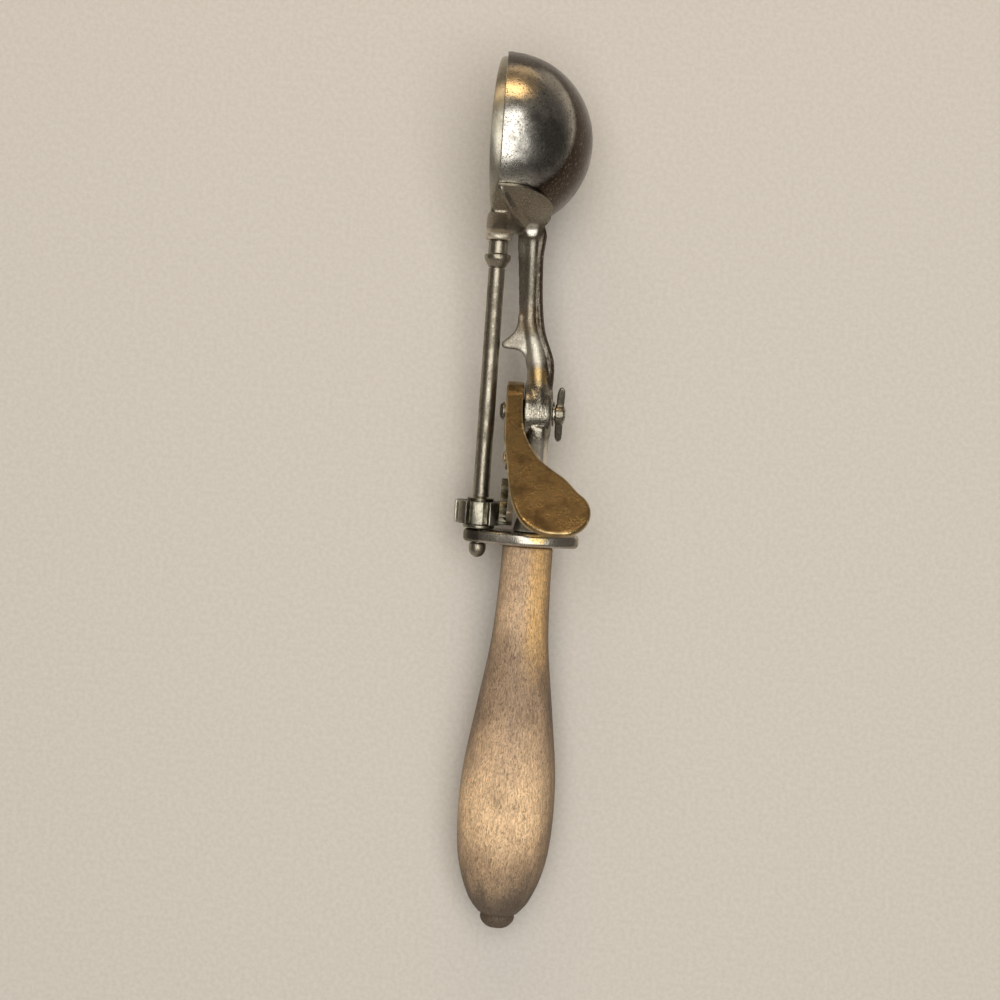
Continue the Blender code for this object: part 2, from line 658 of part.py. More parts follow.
def make_shank(frame):
    """The casting from the bowl's saddle to the foot."""
    identity = Matrix.Identity(4)
    outline = back_edge() + [
        (19.8 * MM, 1.0 * MM, "corner"),
        (11.8 * MM, 1.0 * MM, "corner"),
    ] + horn_edge()
    shank = plate("shank", outline, SPINE, frame, identity, smooth=3)
    rib = plate("rib", rib_outline(), RIB_DEPTH, frame, identity, smooth=2)
    join(shank, round_edges(rib, 0.6 * MM, 1))
    end_x, end_y = rib_end()
    half = RIB_END_DEPTH / 2
    join(shank, rod_shape("rib end", RIB_END_RADIUS, -half, half, frame, at(end_x, end_y), 24))
    edge = [(x, y) for x, y in back_edge()]
    inner = [(x - FLANGE_THICKNESS, y) for x, y in reversed(edge)]
    flange = plate("flange", edge + inner, FLANGE_DEPTH, frame, identity)
    join(shank, round_edges(flange, 0.5 * MM, 1))
    boss_near = DRUM_FAR_X + GAP
    profile = [
        (0, BOSS_FAR_X),
        (DRUM_RADIUS - BOSS_TAPER - 0.8 * MM, BOSS_FAR_X),
        (DRUM_RADIUS - BOSS_TAPER, BOSS_FAR_X - 0.8 * MM),
        (DRUM_RADIUS, boss_near + 1.0 * MM),
        (DRUM_RADIUS, boss_near),
        (SPIGOT_RADIUS, boss_near),
        (SPIGOT_RADIUS, DRUM_NEAR_X + DRUM_BASE + GAP),
        (0, DRUM_NEAR_X + DRUM_BASE + GAP),
    ]
    join(shank, turned("boss", profile, frame, at(y=PIVOT_Y) @ TO_X, 36))
    lower = [
        ellipse_ring(15.7 * MM, GAP, 5.0 * MM, 6.6 * MM),
        ellipse_ring(15.8 * MM, 2.0 * MM, 4.6 * MM, 5.8 * MM),
        ellipse_ring(16.0 * MM, 6.0 * MM, 3.8 * MM, LOWER_WEB_DEPTH / 2),
        ellipse_ring(16.0 * MM, PIVOT_Y - DRUM_RADIUS - 5.0 * MM, 3.6 * MM, LOWER_WEB_DEPTH / 2),
        ellipse_ring(16.0 * MM, PIVOT_Y - DRUM_RADIUS - 2.0 * MM, 3.7 * MM, LOWER_WEB_DEPTH / 2 + 0.5 * MM),
        ellipse_ring(16.0 * MM, PIVOT_Y - DRUM_RADIUS + 0.5 * MM, 3.8 * MM, LOWER_WEB_DEPTH / 2 + 1.5 * MM),
        ellipse_ring(16.0 * MM, PIVOT_Y - DRUM_RADIUS + 3.5 * MM, 3.8 * MM, LOWER_WEB_DEPTH / 2 + 3.2 * MM),
    ]
    join(shank, loft("lower web", lower, frame, identity))
    join(shank, make_saddle(frame))
    fillet = BARREL_TOP_Y
    barrel = [
        (0, fillet + 6.0 * MM),
        (BARREL_RADIUS + 2.5 * MM, fillet + 6.0 * MM),
        (BARREL_RADIUS + 1.4 * MM, fillet + 1.6 * MM),
        (BARREL_RADIUS, fillet + 0.2 * MM),
        (BARREL_RADIUS, BARREL_END_Y + 0.3 * MM),
        (BARREL_RADIUS - 0.3 * MM, BARREL_END_Y),
        (0, BARREL_END_Y),
    ]
    join(shank, turned("barrel", barrel, frame, TO_Y, 24))
    cut(shank, ball("bowl seat", BOWL_RADIUS + GAP, frame, at(y=BOWL_CENTRE_Y) @ TO_Y, 44))
    bore = [
        (0, BOWL_CENTRE_Y),
        (HEEL_PIN_RADIUS + GAP, BOWL_CENTRE_Y),
        (HEEL_PIN_RADIUS + GAP, fillet),
        (JOURNAL_RADIUS + GAP, fillet),
        (JOURNAL_RADIUS + GAP, BARREL_END_Y - GAP),
        (0, BARREL_END_Y - GAP),
    ]
    cut(shank, turned("rod bearing", bore, frame, TO_Y, 20))
    screw = rod_shape("screw bore", SCREW_RADIUS + GAP, 0, 2 * BOSS_FAR_X, frame, at(y=PIVOT_Y) @ TO_X)
    cut(shank, screw)
    tang = rod_shape("tang bore", TANG_RADIUS + GAP, -TANG_TOP_Y, TANG_TOP_Y + GAP, frame, at(x=HANDLE_X) @ TO_Y)
    cut(shank, tang)
    finish(shank, "nickel")


def make_guard_plate(frame):
    """The oval plate with the rod's lower bearing in its nose."""
    middle = HANDLE_X
    nose = GUARD_NOSE_RADIUS
    side = [
        (0.0, nose),
        (middle / 2, GUARD_HALF_DEPTH - 1.6 * MM),
        (middle, GUARD_HALF_DEPTH),
        ((middle + GUARD_FAR_X) / 2, GUARD_HALF_DEPTH - 1.7 * MM),
        (GUARD_FAR_X - 1.2 * MM, 3.4 * MM),
    ]
    outline = [(-nose, 0.0), *side, (GUARD_FAR_X, 0.0)]
    outline += [(x, -z) for x, z in reversed(side)]
    matrix = at(y=-GUARD_THICKNESS / 2) @ FLAT_ON_Y
    guard = plate("guard_plate", outline, GUARD_THICKNESS, frame, matrix, smooth=4)
    round_edges(guard, GUARD_EDGE)
    bore = JOURNAL_RADIUS + GAP
    cut(guard, rod_shape("lower bearing", bore, -2 * GUARD_THICKNESS, GUARD_THICKNESS, frame, TO_Y))
    tang = rod_shape("guard tang hole", TANG_RADIUS + GAP, -2 * GUARD_THICKNESS, GUARD_THICKNESS, frame,
                     at(x=HANDLE_X) @ TO_Y)
    cut(guard, tang)
    finish(guard, "nickel")


def make_handle(frame):
    """The turned wooden handle with the small button at its end."""
    top = -GUARD_THICKNESS - GAP
    bore = TANG_RADIUS + GAP
    stations = [
        (7.9 * MM, top),
        (8.2 * MM, -19.0 * MM),
        (9.2 * MM, -36.0 * MM),
        (12.3 * MM, -58.0 * MM),
        (14.5 * MM, HANDLE_MAX_Y + 13.0 * MM),
        (HANDLE_MAX_RADIUS, HANDLE_MAX_Y),
        (14.6 * MM, HANDLE_MAX_Y - 13.5 * MM),
        (12.7 * MM, HANDLE_END_Y + 12.0 * MM),
        (9.6 * MM, HANDLE_END_Y + 4.4 * MM),
        (6.6 * MM, HANDLE_END_Y + 0.5 * MM),
    ]
    end = HANDLE_END_Y - BUTTON_LENGTH
    button = [
        (BUTTON_RADIUS - 0.4 * MM, HANDLE_END_Y - 0.2 * MM),
        (BUTTON_RADIUS, HANDLE_END_Y - 1.2 * MM),
        (BUTTON_RADIUS - 0.2 * MM, HANDLE_END_Y - 2.4 * MM),
        (BUTTON_RADIUS - 1.1 * MM, end + 0.8 * MM),
        (BUTTON_RADIUS - 2.1 * MM, end),
        (0, end),
    ]
    bore_end = TANG_END_Y - 4.0 * MM - GAP
    profile = [(0, bore_end), (bore, bore_end), (bore, top), *smooth_profile(stations), *button]
    finish(turned("handle", profile, frame, at(x=HANDLE_X) @ TO_Y, 28), "wood", 50)


def make_tang(frame):
    """The hidden rod from the foot into the handle."""
    profile = [
        (0, TANG_TOP_Y),
        (TANG_RADIUS, TANG_TOP_Y),
        (TANG_RADIUS, TANG_END_Y),
        (TANG_RADIUS / 3, TANG_END_Y - 4.0 * MM),
        (0, TANG_END_Y - 4.0 * MM),
    ]
    finish(turned("tang", profile, frame, at(x=HANDLE_X) @ TO_Y, 16), "iron")


def make_pivot_screw(frame):
    """The round-headed screw along X through the hub and the boss."""
    face = DRUM_NEAR_X - GAP
    end = BOSS_FAR_X + NUT_WASHER + NUT_HEIGHT + 3 * GAP
    profile = [
        (0, end),
        (SCREW_RADIUS - 0.4 * MM, end),
        (SCREW_RADIUS, end - 0.4 * MM),
        (SCREW_RADIUS, face),
        (SCREW_HEAD_RADIUS, face),
        (SCREW_HEAD_RADIUS, face - SCREW_HEAD_HEIGHT * 0.4),
        (SCREW_HEAD_RADIUS * 0.8, face - SCREW_HEAD_HEIGHT * 0.8),
        (SCREW_HEAD_RADIUS * 0.4, face - SCREW_HEAD_HEIGHT),
        (0, face - SCREW_HEAD_HEIGHT),
    ]
    finish(turned("pivot_screw", profile, frame, at(y=PIVOT_Y) @ TO_X, 20), "nickel")


def make_nut_washer(frame):
    """The thin washer under the wing nut."""
    bore = SCREW_RADIUS + GAP
    low = BOSS_FAR_X + GAP
    high = low + NUT_WASHER
    radius = NUT_RADIUS + 0.8 * MM
    profile = [(bore, high), (radius, high), (radius, low), (bore, low)]
    finish(turned("nut_washer", profile, frame, at(y=PIVOT_Y) @ TO_X, 24, closed=True), "nickel")


def make_wing_nut(frame):
    """The wing nut on the screw's end."""
    low = BOSS_FAR_X + NUT_WASHER + 2 * GAP
    high = low + NUT_HEIGHT
    pivot = at(y=PIVOT_Y)
    profile = [
        (0, high),
        (NUT_RADIUS - 0.6 * MM, high),
        (NUT_RADIUS, high - 0.6 * MM),
        (NUT_RADIUS, low),
        (0, low),
    ]
    nut = turned("wing_nut", profile, frame, pivot @ TO_X, 24)
    outline = [
        (low + 0.5 * MM, NUT_RADIUS * 0.7),
        (low + 0.1 * MM, WING_REACH * 0.55),
        (low + 0.3 * MM, WING_REACH * 0.85),
        (low + 1.4 * MM, WING_REACH),
        (high + 0.1 * MM, WING_REACH * 0.9),
        (high + 0.4 * MM, WING_REACH * 0.66),
        (high - 0.2 * MM, NUT_RADIUS * 0.7),
    ]
    for side in range(2):
        turn = pivot @ Matrix.Rotation(WING_TURN + math.pi * side, 4, "X")
        wing = plate(f"wing {side + 1}", outline, WING_THICKNESS, frame, turn, smooth=3)
        join(nut, round_edges(wing, 0.35 * MM, 1))
    cut(nut, rod_shape("nut bore", SCREW_RADIUS + GAP, 0, 2 * BOSS_FAR_X, frame, pivot @ TO_X))
    finish(nut, "nickel")


def thumb_outline():
    """The arm and the thumb plate, with the reach from the pivot along -Y."""
    arm_far = DRUM_FAR_X
    middle = THUMB_CENTRE_X
    end = -THUMB_REACH - THUMB_RADIUS
    return [
        (DRUM_NEAR_X, 0.0, "corner"),
        (arm_far, 0.0, "corner"),
        (arm_far, -8.0 * MM),
        (arm_far + 0.6 * MM, -13.8 * MM),
        (13.1 * MM, -18.8 * MM),
        (14.8 * MM, -22.6 * MM),
        (17.4 * MM, -26.9 * MM),
        (21.2 * MM, -30.5 * MM),
        (25.0 * MM, -33.6 * MM),
        *arc((middle, -THUMB_REACH), THUMB_RADIUS, 55, -80, 8),
        (middle - 3.8 * MM, end),
        (middle - 8.2 * MM, end + 1.6 * MM),
        (middle - 11.2 * MM, end + 4.1 * MM),
        (10.4 * MM, end + 8.6 * MM),
        (8.7 * MM, -39.8 * MM),
        (7.8 * MM, -33.1 * MM),
        (7.2 * MM, -27.0 * MM),
        (DRUM_NEAR_X + 0.5 * MM, -21.0 * MM),
        (DRUM_NEAR_X + 0.1 * MM, -13.0 * MM),
    ]


def make_thumb_lever(axis):
    """The brass lever: hub drum, flared thumb plate and the rib that carries the sector."""
    profile = [
        (DRUM_RADIUS, DRUM_FAR_X),
        (DRUM_RADIUS, DRUM_NEAR_X),
        (SCREW_RADIUS + GAP, DRUM_NEAR_X),
        (SCREW_RADIUS + GAP, DRUM_NEAR_X + DRUM_BASE),
        (DRUM_RECESS_RADIUS, DRUM_NEAR_X + DRUM_BASE),
        (DRUM_RECESS_RADIUS, DRUM_FAR_X),
    ]
    lever = turned("thumb_lever", profile, axis, TO_X, 36, closed=True)
    rise = DRUM_RADIUS - 0.1 * MM - THUMB_PLATE / 2
    thumb = plate("thumb plate", thumb_outline(), THUMB_PLATE, axis, at(z=rise), smooth=3)
    join(lever, round_edges(thumb, 0.6 * MM))
    under = rise - THUMB_PLATE / 2
    far = MESH_RADIUS - GEAR_FACE / 2 - 2.2 * MM
    outline = [
        (-DRUM_RADIUS + 1.5 * MM, -4.0 * MM),
        (-DRUM_RADIUS + 1.5 * MM, under + 0.6 * MM),
        (-far, under + 0.6 * MM),
        (-far, under - 1.5 * MM),
        (-far + 1.5 * MM, RIVET_RISE - RIVET_HEAD_RADIUS),
        (-far / 2, RIVET_RISE - RIVET_HEAD_RADIUS - 2.0 * MM),
    ]
    rib = plate("lever rib", outline, LEVER_RIB, axis, at(x=LEVER_RIB_X + LEVER_RIB / 2) @ FLAT_ON_X)
    join(lever, rib)
    for number, reach in enumerate(RIVET_REACHES, 1):
        spot = at(y=-reach, z=RIVET_RISE) @ TO_X
        hole = rod_shape(f"lever rivet hole {number}", RIVET_RADIUS + GAP, 0, DRUM_FAR_X, axis, spot, 16)
        cut(lever, hole)
    cut(lever, rod_shape("pin seat", SPRING_PIN_RADIUS + GAP, 0, DRUM_FAR_X - GAP, axis, pin_place(), 12))
    finish(lever, "brass")


def lever_point(radius, angle):
    """A point in the lever's side plane. The angle runs from the mesh towards the thumb plate at rest."""
    turned_back = angle - REST_ANGLE
    return (-radius * math.cos(turned_back), radius * math.sin(turned_back))


def tooth_section(radius, tip_width, root_width, angle):
    """One sector tooth's section at a radius: narrow at the tip and wide at the root."""
    tip = SECTOR_TIP_X
    root = SECTOR_ROOT_X + 0.2 * MM
    tip_half = tip_width / 2 / radius
    root_half = root_width / 2 / radius
    corners = [(tip, -tip_half), (tip, tip_half), (root, root_half), (root, -root_half)]
    return [(x, *lever_point(radius, angle + turn)) for x, turn in corners]


def make_sector_gear(axis):
    """The face-gear sector: a toothed ring on a thin fan that lies on the lever's rib."""
    inner = MESH_RADIUS - GEAR_FACE / 2
    outer = MESH_RADIUS + GEAR_FACE / 2
    first = FIRST_TOOTH * TOOTH_STEP - PINION_PHASE / GEAR_RATIO
    angles = [first + TOOTH_STEP * i for i in range(SECTOR_CUT_TEETH)]
    low = angles[0] - 0.38 * TOOTH_STEP
    high = angles[-1] + 0.38 * TOOTH_STEP
    steps = 20
    sweep = [low + (high - low) * i / steps for i in range(steps + 1)]
    ring = [lever_point(outer, a) for a in sweep] + [lever_point(inner, a) for a in reversed(sweep)]
    depth = SECTOR_BACK_X - SECTOR_ROOT_X
    matrix = at(x=SECTOR_BACK_X - depth / 2) @ FLAT_ON_X
    sector = plate("sector_gear", ring, depth, axis, matrix)
    fan_low = low + math.radians(6.0)
    fan_high = high
    near = DRUM_RADIUS + GAP
    near_high = REST_ANGLE + math.radians(36.0)
    outer_row = [lever_point(inner + 0.6 * MM, fan_low + (fan_high - fan_low) * i / 12) for i in range(13)]
    inner_row = [lever_point(near, near_high + (fan_low - near_high) * i / 12) for i in range(13)]
    fan = plate("sector fan", outer_row + inner_row, SECTOR_WEB, axis,
                at(x=SECTOR_BACK_X - SECTOR_WEB / 2) @ FLAT_ON_X)
    join(sector, fan)
    work = bmesh.new()
    for angle in angles:
        add_loft(work, [tooth_section(*section, angle) for section in SECTOR_TOOTH_SECTIONS])
    mesh = bpy.data.meshes.new("sector teeth")
    work.to_mesh(mesh)
    work.free()
    join(sector, place("sector teeth", mesh, axis, Matrix.Identity(4)))
    for number, reach in enumerate(RIVET_REACHES, 1):
        spot = at(y=-reach, z=RIVET_RISE) @ TO_X
        cut(sector, rod_shape(f"sector rivet hole {number}", RIVET_RADIUS + GAP, 0, BOSS_FAR_X, axis, spot, 16))
    finish(sector, "steel")


def make_sector_rivets(axis):
    """Two rivets through the rib and the fan."""
    near = LEVER_RIB_X - GAP
    far = SECTOR_BACK_X + GAP
    head = RIVET_HEIGHT
    profile = [
        (0, far + head),
        (RIVET_HEAD_RADIUS * 0.6, far + head),
        (RIVET_HEAD_RADIUS, far + head / 3),
        (RIVET_HEAD_RADIUS, far),
        (RIVET_RADIUS, far),
        (RIVET_RADIUS, near),
        (RIVET_HEAD_RADIUS, near),
        (RIVET_HEAD_RADIUS, near - head / 3),
        (RIVET_HEAD_RADIUS * 0.6, near - head),
        (0, near - head),
    ]
    for number, reach in enumerate(RIVET_REACHES, 1):
        spot = at(y=-reach, z=RIVET_RISE) @ TO_X
        finish(turned(f"sector_rivet_{number}", profile, axis, spot, 14), "brass")


def spiral_point(turns):
    """A point on the spring's centre line."""
    radius = SPRING_INNER_RADIUS + SPRING_PITCH * turns
    angle = 2 * math.pi * turns
    return Vector((radius * math.cos(angle), radius * math.sin(angle), 0.0))


def pin_place():
    """Where the spring's pin stands in the drum: just past the spiral's outer end."""
    end = spiral_point(SPRING_TURNS)
    before = spiral_point(SPRING_TURNS - 0.01)
    spot = end + (end - before).normalized() * (SPRING_PIN_RADIUS + GAP)
    return FLAT_ON_X @ at(spot.x, spot.y)


def make_return_spring(axis):
    """The flat spiral in the drum, one unbroken wire."""
    curve = bpy.data.curves.new("return_spring", "CURVE")
    curve.dimensions = "3D"
    curve.bevel_depth = SPRING_WIRE / 2
    curve.bevel_resolution = 1
    curve.use_fill_caps = True
    points = [spiral_point(SPRING_TURNS * i / (SPRING_POINTS - 1)) for i in range(SPRING_POINTS)]
    spline = curve.splines.new("POLY")
    spline.points.add(SPRING_POINTS - 1)
    for knot, point in zip(spline.points, points):
        knot.co = (*point, 1.0)
    middle = (DRUM_NEAR_X + DRUM_BASE + DRUM_FAR_X) / 2
    spring = solid_from_curve("return_spring", curve, axis, at(x=middle) @ FLAT_ON_X)
    finish(spring, "steel")
    print(f"return_spring least gap to itself {spring_gap(points) / MM:.2f} mm")


def spring_gap(points):
    """The least gap between turns, over points that lie more than half a turn apart."""
    apart = int(0.5 / SPRING_TURNS * SPRING_POINTS)
    least = min((a - b).length for i, a in enumerate(points) for b in points[i + apart:])
    return least - SPRING_WIRE


def make_spring_pin(axis):
    """The pin that the spring's outer end bears on."""
    high = DRUM_FAR_X - 2 * GAP
    pin = rod_shape("spring_pin", SPRING_PIN_RADIUS, DRUM_NEAR_X + GAP, high, axis, pin_place(), 12)
    finish(pin, "steel")


def lay_down(frame):
    """Lay the tool on its side on the bowl and the handle, with the origin under its middle."""
    run = BOWL_CENTRE_Y - HANDLE_MAX_Y
    frame.rotation_euler = (math.asin((BOWL_RADIUS - HANDLE_MAX_RADIUS) / run), 0.0, 0.0)
    bpy.context.view_layer.update()
    depsgraph = bpy.context.evaluated_depsgraph_get()
    low = Vector((math.inf,) * 3)
    high = Vector((-math.inf,) * 3)
    for item in PARTS.objects:
        if item.type != "MESH":
            continue
        solid = item.evaluated_get(depsgraph)
        for vertex in solid.data.vertices:
            spot = solid.matrix_world @ vertex.co
            low = Vector(map(min, low, spot))
            high = Vector(map(max, high, spot))
    frame.location = (-(low.x + high.x) / 2, -(low.y + high.y) / 2, -low.z)
    bpy.context.view_layer.update()
    return high - low


def report(frame, lever_axis, size):
    """Print the size and the joints' axes where the tool lies, with the butt's end and the bowl's middle."""
    turn = frame.matrix_world.to_3x3()
    print("size mm", [round(v / MM, 2) for v in size])
    print("lever pivot", [round(v, 6) for v in lever_axis.matrix_world.translation], list(turn.col[0]))
    print("rod axis", [round(v, 6) for v in frame.matrix_world.translation], list(turn.col[1]))
    butt = frame.matrix_world @ Vector((HANDLE_X, HANDLE_END_Y - BUTTON_LENGTH, 0.0))
    bowl = frame.matrix_world @ Vector((0.0, BOWL_CENTRE_Y, 0.0))
    print("butt end", [round(v, 6) for v in butt], "bowl centre", [round(v, 6) for v in bowl])
    print("lever travel deg", round(math.degrees(LEVER_TRAVEL), 4), "ratio", round(GEAR_RATIO, 5))


def main():
    """Build the scoop and lay it down."""
    frame = make_empty("tool_frame")
    rod_axis = make_empty("rod_axis", frame)
    lever_axis = make_empty("lever_axis", frame, (0.0, PIVOT_Y, 0.0))
    lever_axis.rotation_euler = (-REST_ANGLE, 0.0, 0.0)

    make_bowl(frame)
    make_tip_pin(frame)
    make_shank(frame)
    make_guard_plate(frame)
    make_handle(frame)
    make_tang(frame)
    make_pivot_screw(frame)
    make_nut_washer(frame)
    make_wing_nut(frame)

    make_drive_rod(rod_axis)
    make_rod_collar(rod_axis)
    make_pinion(rod_axis)
    make_thrust_washer(rod_axis)
    make_finial(rod_axis)
    make_scraper_blade(rod_axis)

    make_thumb_lever(lever_axis)
    make_sector_gear(lever_axis)
    make_sector_rivets(lever_axis)
    make_return_spring(lever_axis)
    make_spring_pin(lever_axis)

    size = lay_down(frame)
    report(frame, lever_axis, size)


clear_scene()
PARTS = make_collection("ice_cream_scoop")
CUTTERS = make_collection("cutters")
main()
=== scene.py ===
"""The ice cream scoop's looks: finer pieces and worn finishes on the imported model.

Shapes are drawn in millimetres in the tool's own frame: the drive rod is the Y axis with the bowl
at +Y, X points to the bowl's dome and Z to the side where the thumb lever stands.
"""

import json
import logging
import math
from collections.abc import Sequence
from dataclasses import dataclass
from enum import Enum

import bmesh
import bpy
from mathutils import Matrix, Vector


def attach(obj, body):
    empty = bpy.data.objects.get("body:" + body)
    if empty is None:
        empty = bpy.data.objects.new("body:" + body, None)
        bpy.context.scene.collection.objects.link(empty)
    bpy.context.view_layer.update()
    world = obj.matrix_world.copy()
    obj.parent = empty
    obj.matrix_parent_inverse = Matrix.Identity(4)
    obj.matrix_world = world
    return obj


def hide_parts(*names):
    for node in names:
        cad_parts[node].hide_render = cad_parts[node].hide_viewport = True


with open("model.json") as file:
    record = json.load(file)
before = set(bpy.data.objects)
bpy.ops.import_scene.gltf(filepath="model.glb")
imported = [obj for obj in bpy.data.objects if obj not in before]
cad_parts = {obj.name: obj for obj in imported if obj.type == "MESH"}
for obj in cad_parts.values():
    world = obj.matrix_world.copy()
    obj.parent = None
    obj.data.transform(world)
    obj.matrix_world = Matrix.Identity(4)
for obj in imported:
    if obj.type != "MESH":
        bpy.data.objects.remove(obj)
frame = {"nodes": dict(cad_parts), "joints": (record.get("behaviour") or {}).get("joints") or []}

MM = 0.001
# What touching pieces leave between them, and how far a cutter reaches past what it cuts.
GAP = 0.3
PAST = 5.0
# Radii that several sub-assemblies share: the rod's bearings, the pivot screw, the tang, the drum.
JOURNAL = 1.9
SCREW = 2.0
TANG = 2.0
DRUM = 9.4
# Places that they share, and the guard plate's thickness.
BARREL_TOP = 92.2
PIVOT_Y = 37.5
BOSS_FAR = 20.3
HANDLE_X = 15.4
GUARD = 4.2

PLACE = "place_mm"
MATH = "ShaderNodeMath"
MIX = "ShaderNodeMix"
RANGE = "ShaderNodeMapRange"
COLOURS = {"data_type": "RGBA"}
TIMES = {"operation": "MULTIPLY"}
TIMES_PLUS = {"operation": "MULTIPLY_ADD"}
SOFT = {"interpolation_type": "SMOOTHSTEP"}
LOG = logging.getLogger("scoop")

Point = tuple[float, ...]
Row = Sequence[Point]
Mesh = bpy.types.Mesh
Tree = bpy.types.NodeTree
Node = bpy.types.Node
Socket = bpy.types.NodeSocket

ALONG_Y = Matrix.Rotation(-math.pi / 2, 4, "X")
ALONG_X = Matrix.Rotation(math.pi / 2, 4, "Y")
FACING_Y = Matrix.Rotation(math.pi / 2, 4, "X")
FACING_X = Matrix(((0, 0, 1, 0), (1, 0, 0, 0), (0, 1, 0, 0), (0, 0, 0, 1)))
STILL = Matrix.Identity(4)


class Body(Enum):
    """What a piece moves with."""

    FIXED = "body"
    LEVER = "lever"
    SCRAPER = "scraper"


class Slot(Enum):
    """The record's material slots."""

    BOWL = "bowl_nickel"
    BLADE = "blade_nickel"
    CAST = "cast_nickel"
    ROD = "rod_nickel"
    GEAR = "gear_nickel"
    SMALL = "small_nickel"
    BRASS = "lever_brass"
    SPRING = "spring_steel"
    TANG = "tang_iron"
    WOOD = "handle_wood"


def shift(x: float = 0.0, y: float = 0.0, z: float = 0.0) -> Matrix:
    """A move by so many millimetres."""
    return Matrix.Translation((x, y, z))


def rounded(points: Row, radius: float, parts: int = 4, closed: bool = False) -> list[Point]:
    """Round the corners of a row of points.

    Args:
        points: the row. A point's third value is its own corner radius.
        radius: how far a corner is cut back on each side.
        parts: steps in each rounded corner.
        closed: whether the last point joins the first.

    Returns:
        The row with its corners rounded.
    """
    count = len(points)
    row: list[Point] = []
    for i, point in enumerate(points):
        here = Vector(point[:2])
        cut = point[2] if len(point) > 2 else radius
        if cut <= 0 or (not closed and i in (0, count - 1)):
            row.append(tuple(here))
            continue
        back = Vector(points[i - 1][:2]) - here
        on = Vector(points[(i + 1) % count][:2]) - here
        start = here + back.normalized() * min(cut, 0.48 * back.length)
        end = here + on.normalized() * min(cut, 0.48 * on.length)
        for k in range(parts + 1):
            t = k / parts
            row.append(tuple(start * (1 - t) ** 2 + here * 2 * t * (1 - t) + end * t ** 2))
    return row


def flowing(points: Row, parts: int, closed: bool = False) -> list[Point]:
    """Draw a smooth row through the given points.

    Args:
        points: the row. A third value marks a corner, where the row doesn't bend smoothly.
        parts: steps between each two points.
        closed: whether the last point joins the first.

    Returns:
        The smooth row.
    """
    count = len(points)
    row: list[Point] = []
    for i in range(count if closed else count - 1):
        start, end = points[i], points[(i + 1) % count]
        before = points[i - 1] if (closed or i) and len(start) < 3 else start
        after = points[(i + 2) % count] if (closed or i + 2 < count) and len(end) < 3 else end
        for k in range(parts):
            t = k / parts
            row.append(tuple(
                0.5 * (2 * b + (c - a) * t + (2 * a - 5 * b + 4 * c - d) * t * t
                       + (3 * b - a - 3 * c + d) * t ** 3)
                for a, b, c, d in zip(before[:2], start[:2], end[:2], after[:2])))
    if not closed:
        row.append(tuple(points[-1][:2]))
    return row


def bow(centre: Point, radius: float, start: float, end: float, parts: int) -> list[Point]:
    """Points along an arc.

    Args:
        centre: the arc's centre.
        radius: its radius.
        start: the first point's angle in degrees.
        end: the last point's angle in degrees.
        parts: steps along it.

    Returns:
        The points.
    """
    angles = [math.radians(start + (end - start) * i / parts) for i in range(parts + 1)]
    return [(centre[0] + radius * math.cos(a), centre[1] + radius * math.sin(a)) for a in angles]


def from_work(work: bmesh.types.BMesh, turn: Matrix) -> Mesh:
    """Close a mesh under construction.

    Args:
        work: the bmesh, which is freed.
        turn: where the shape goes in the tool's or the lever's frame.

    Returns:
        The mesh.
    """
    bmesh.ops.recalc_face_normals(work, faces=work.faces)
    mesh = bpy.data.meshes.new("shape")
    work.to_mesh(mesh)
    work.free()
    mesh.transform(turn)
    if turn.determinant() < 0:
        mesh.flip_normals()
    return mesh


def lathe(profile: Row, steps: int, turn: Matrix, closed: bool = False) -> Mesh:
    """Turn a profile round an axis.

    Args:
        profile: (radius, station) pairs.
        steps: faces round the axis.
        turn: where the shape's Z axis goes.
        closed: whether the profile is a ring that never meets the axis.

    Returns:
        The turned mesh.
    """
    work = bmesh.new()
    angles = [2 * math.pi * i / steps for i in range(steps)]
    rings = []
    for radius, station in (point[:2] for point in profile):
        on_axis = radius < 1e-6
        rings.append([work.verts.new((radius * math.cos(a), radius * math.sin(a), station))
                      for a in (angles[:1] if on_axis else angles)])
    pairs = list(zip(rings, rings[1:])) + ([(rings[-1], rings[0])] if closed else [])
    for lower, upper in pairs:
        for i in range(steps):
            j = (i + 1) % steps
            corners = [ring[k % len(ring)] for ring, k in ((lower, i), (lower, j), (upper, j), (upper, i))]
            corners = list(dict.fromkeys(corners))
            if len(corners) > 2:
                work.faces.new(corners)
    return from_work(work, turn)


def rod(radius: float, low: float, high: float, turn: Matrix, steps: int = 32) -> Mesh:
    """A plain round bar, used to cut bores."""
    return lathe([(0, low), (radius, low), (radius, high), (0, high)], steps, turn)


def sphere(radius: float, turn: Matrix, steps: int = 96) -> Mesh:
    """A turned ball.

    Args:
        radius: its radius.
        turn: where its middle and axis go.
        steps: faces round it.

    Returns:
        The ball.
    """
    half = steps // 2
    arc = [(radius * math.sin(a), radius * math.cos(a)) for a in (math.pi * i / half for i in range(1, half))]
    return lathe([(0.0, radius), *arc, (0.0, -radius)], steps, turn)


def flat_ring(bore: float, radius: float, low: float, high: float, corner: float, turn: Matrix) -> Mesh:
    """A flat ring with eased edges.

    Args:
        bore: its hole's radius.
        radius: its own radius.
        low: where it starts along the axis.
        high: where it ends.
        corner: how far its edges are cut back.
        turn: where the axis goes.

    Returns:
        The ring.
    """
    profile = [(bore, high), (radius, high), (radius, low), (bore, low)]
    return lathe(rounded(profile, corner, 3, closed=True), 56, turn, closed=True)


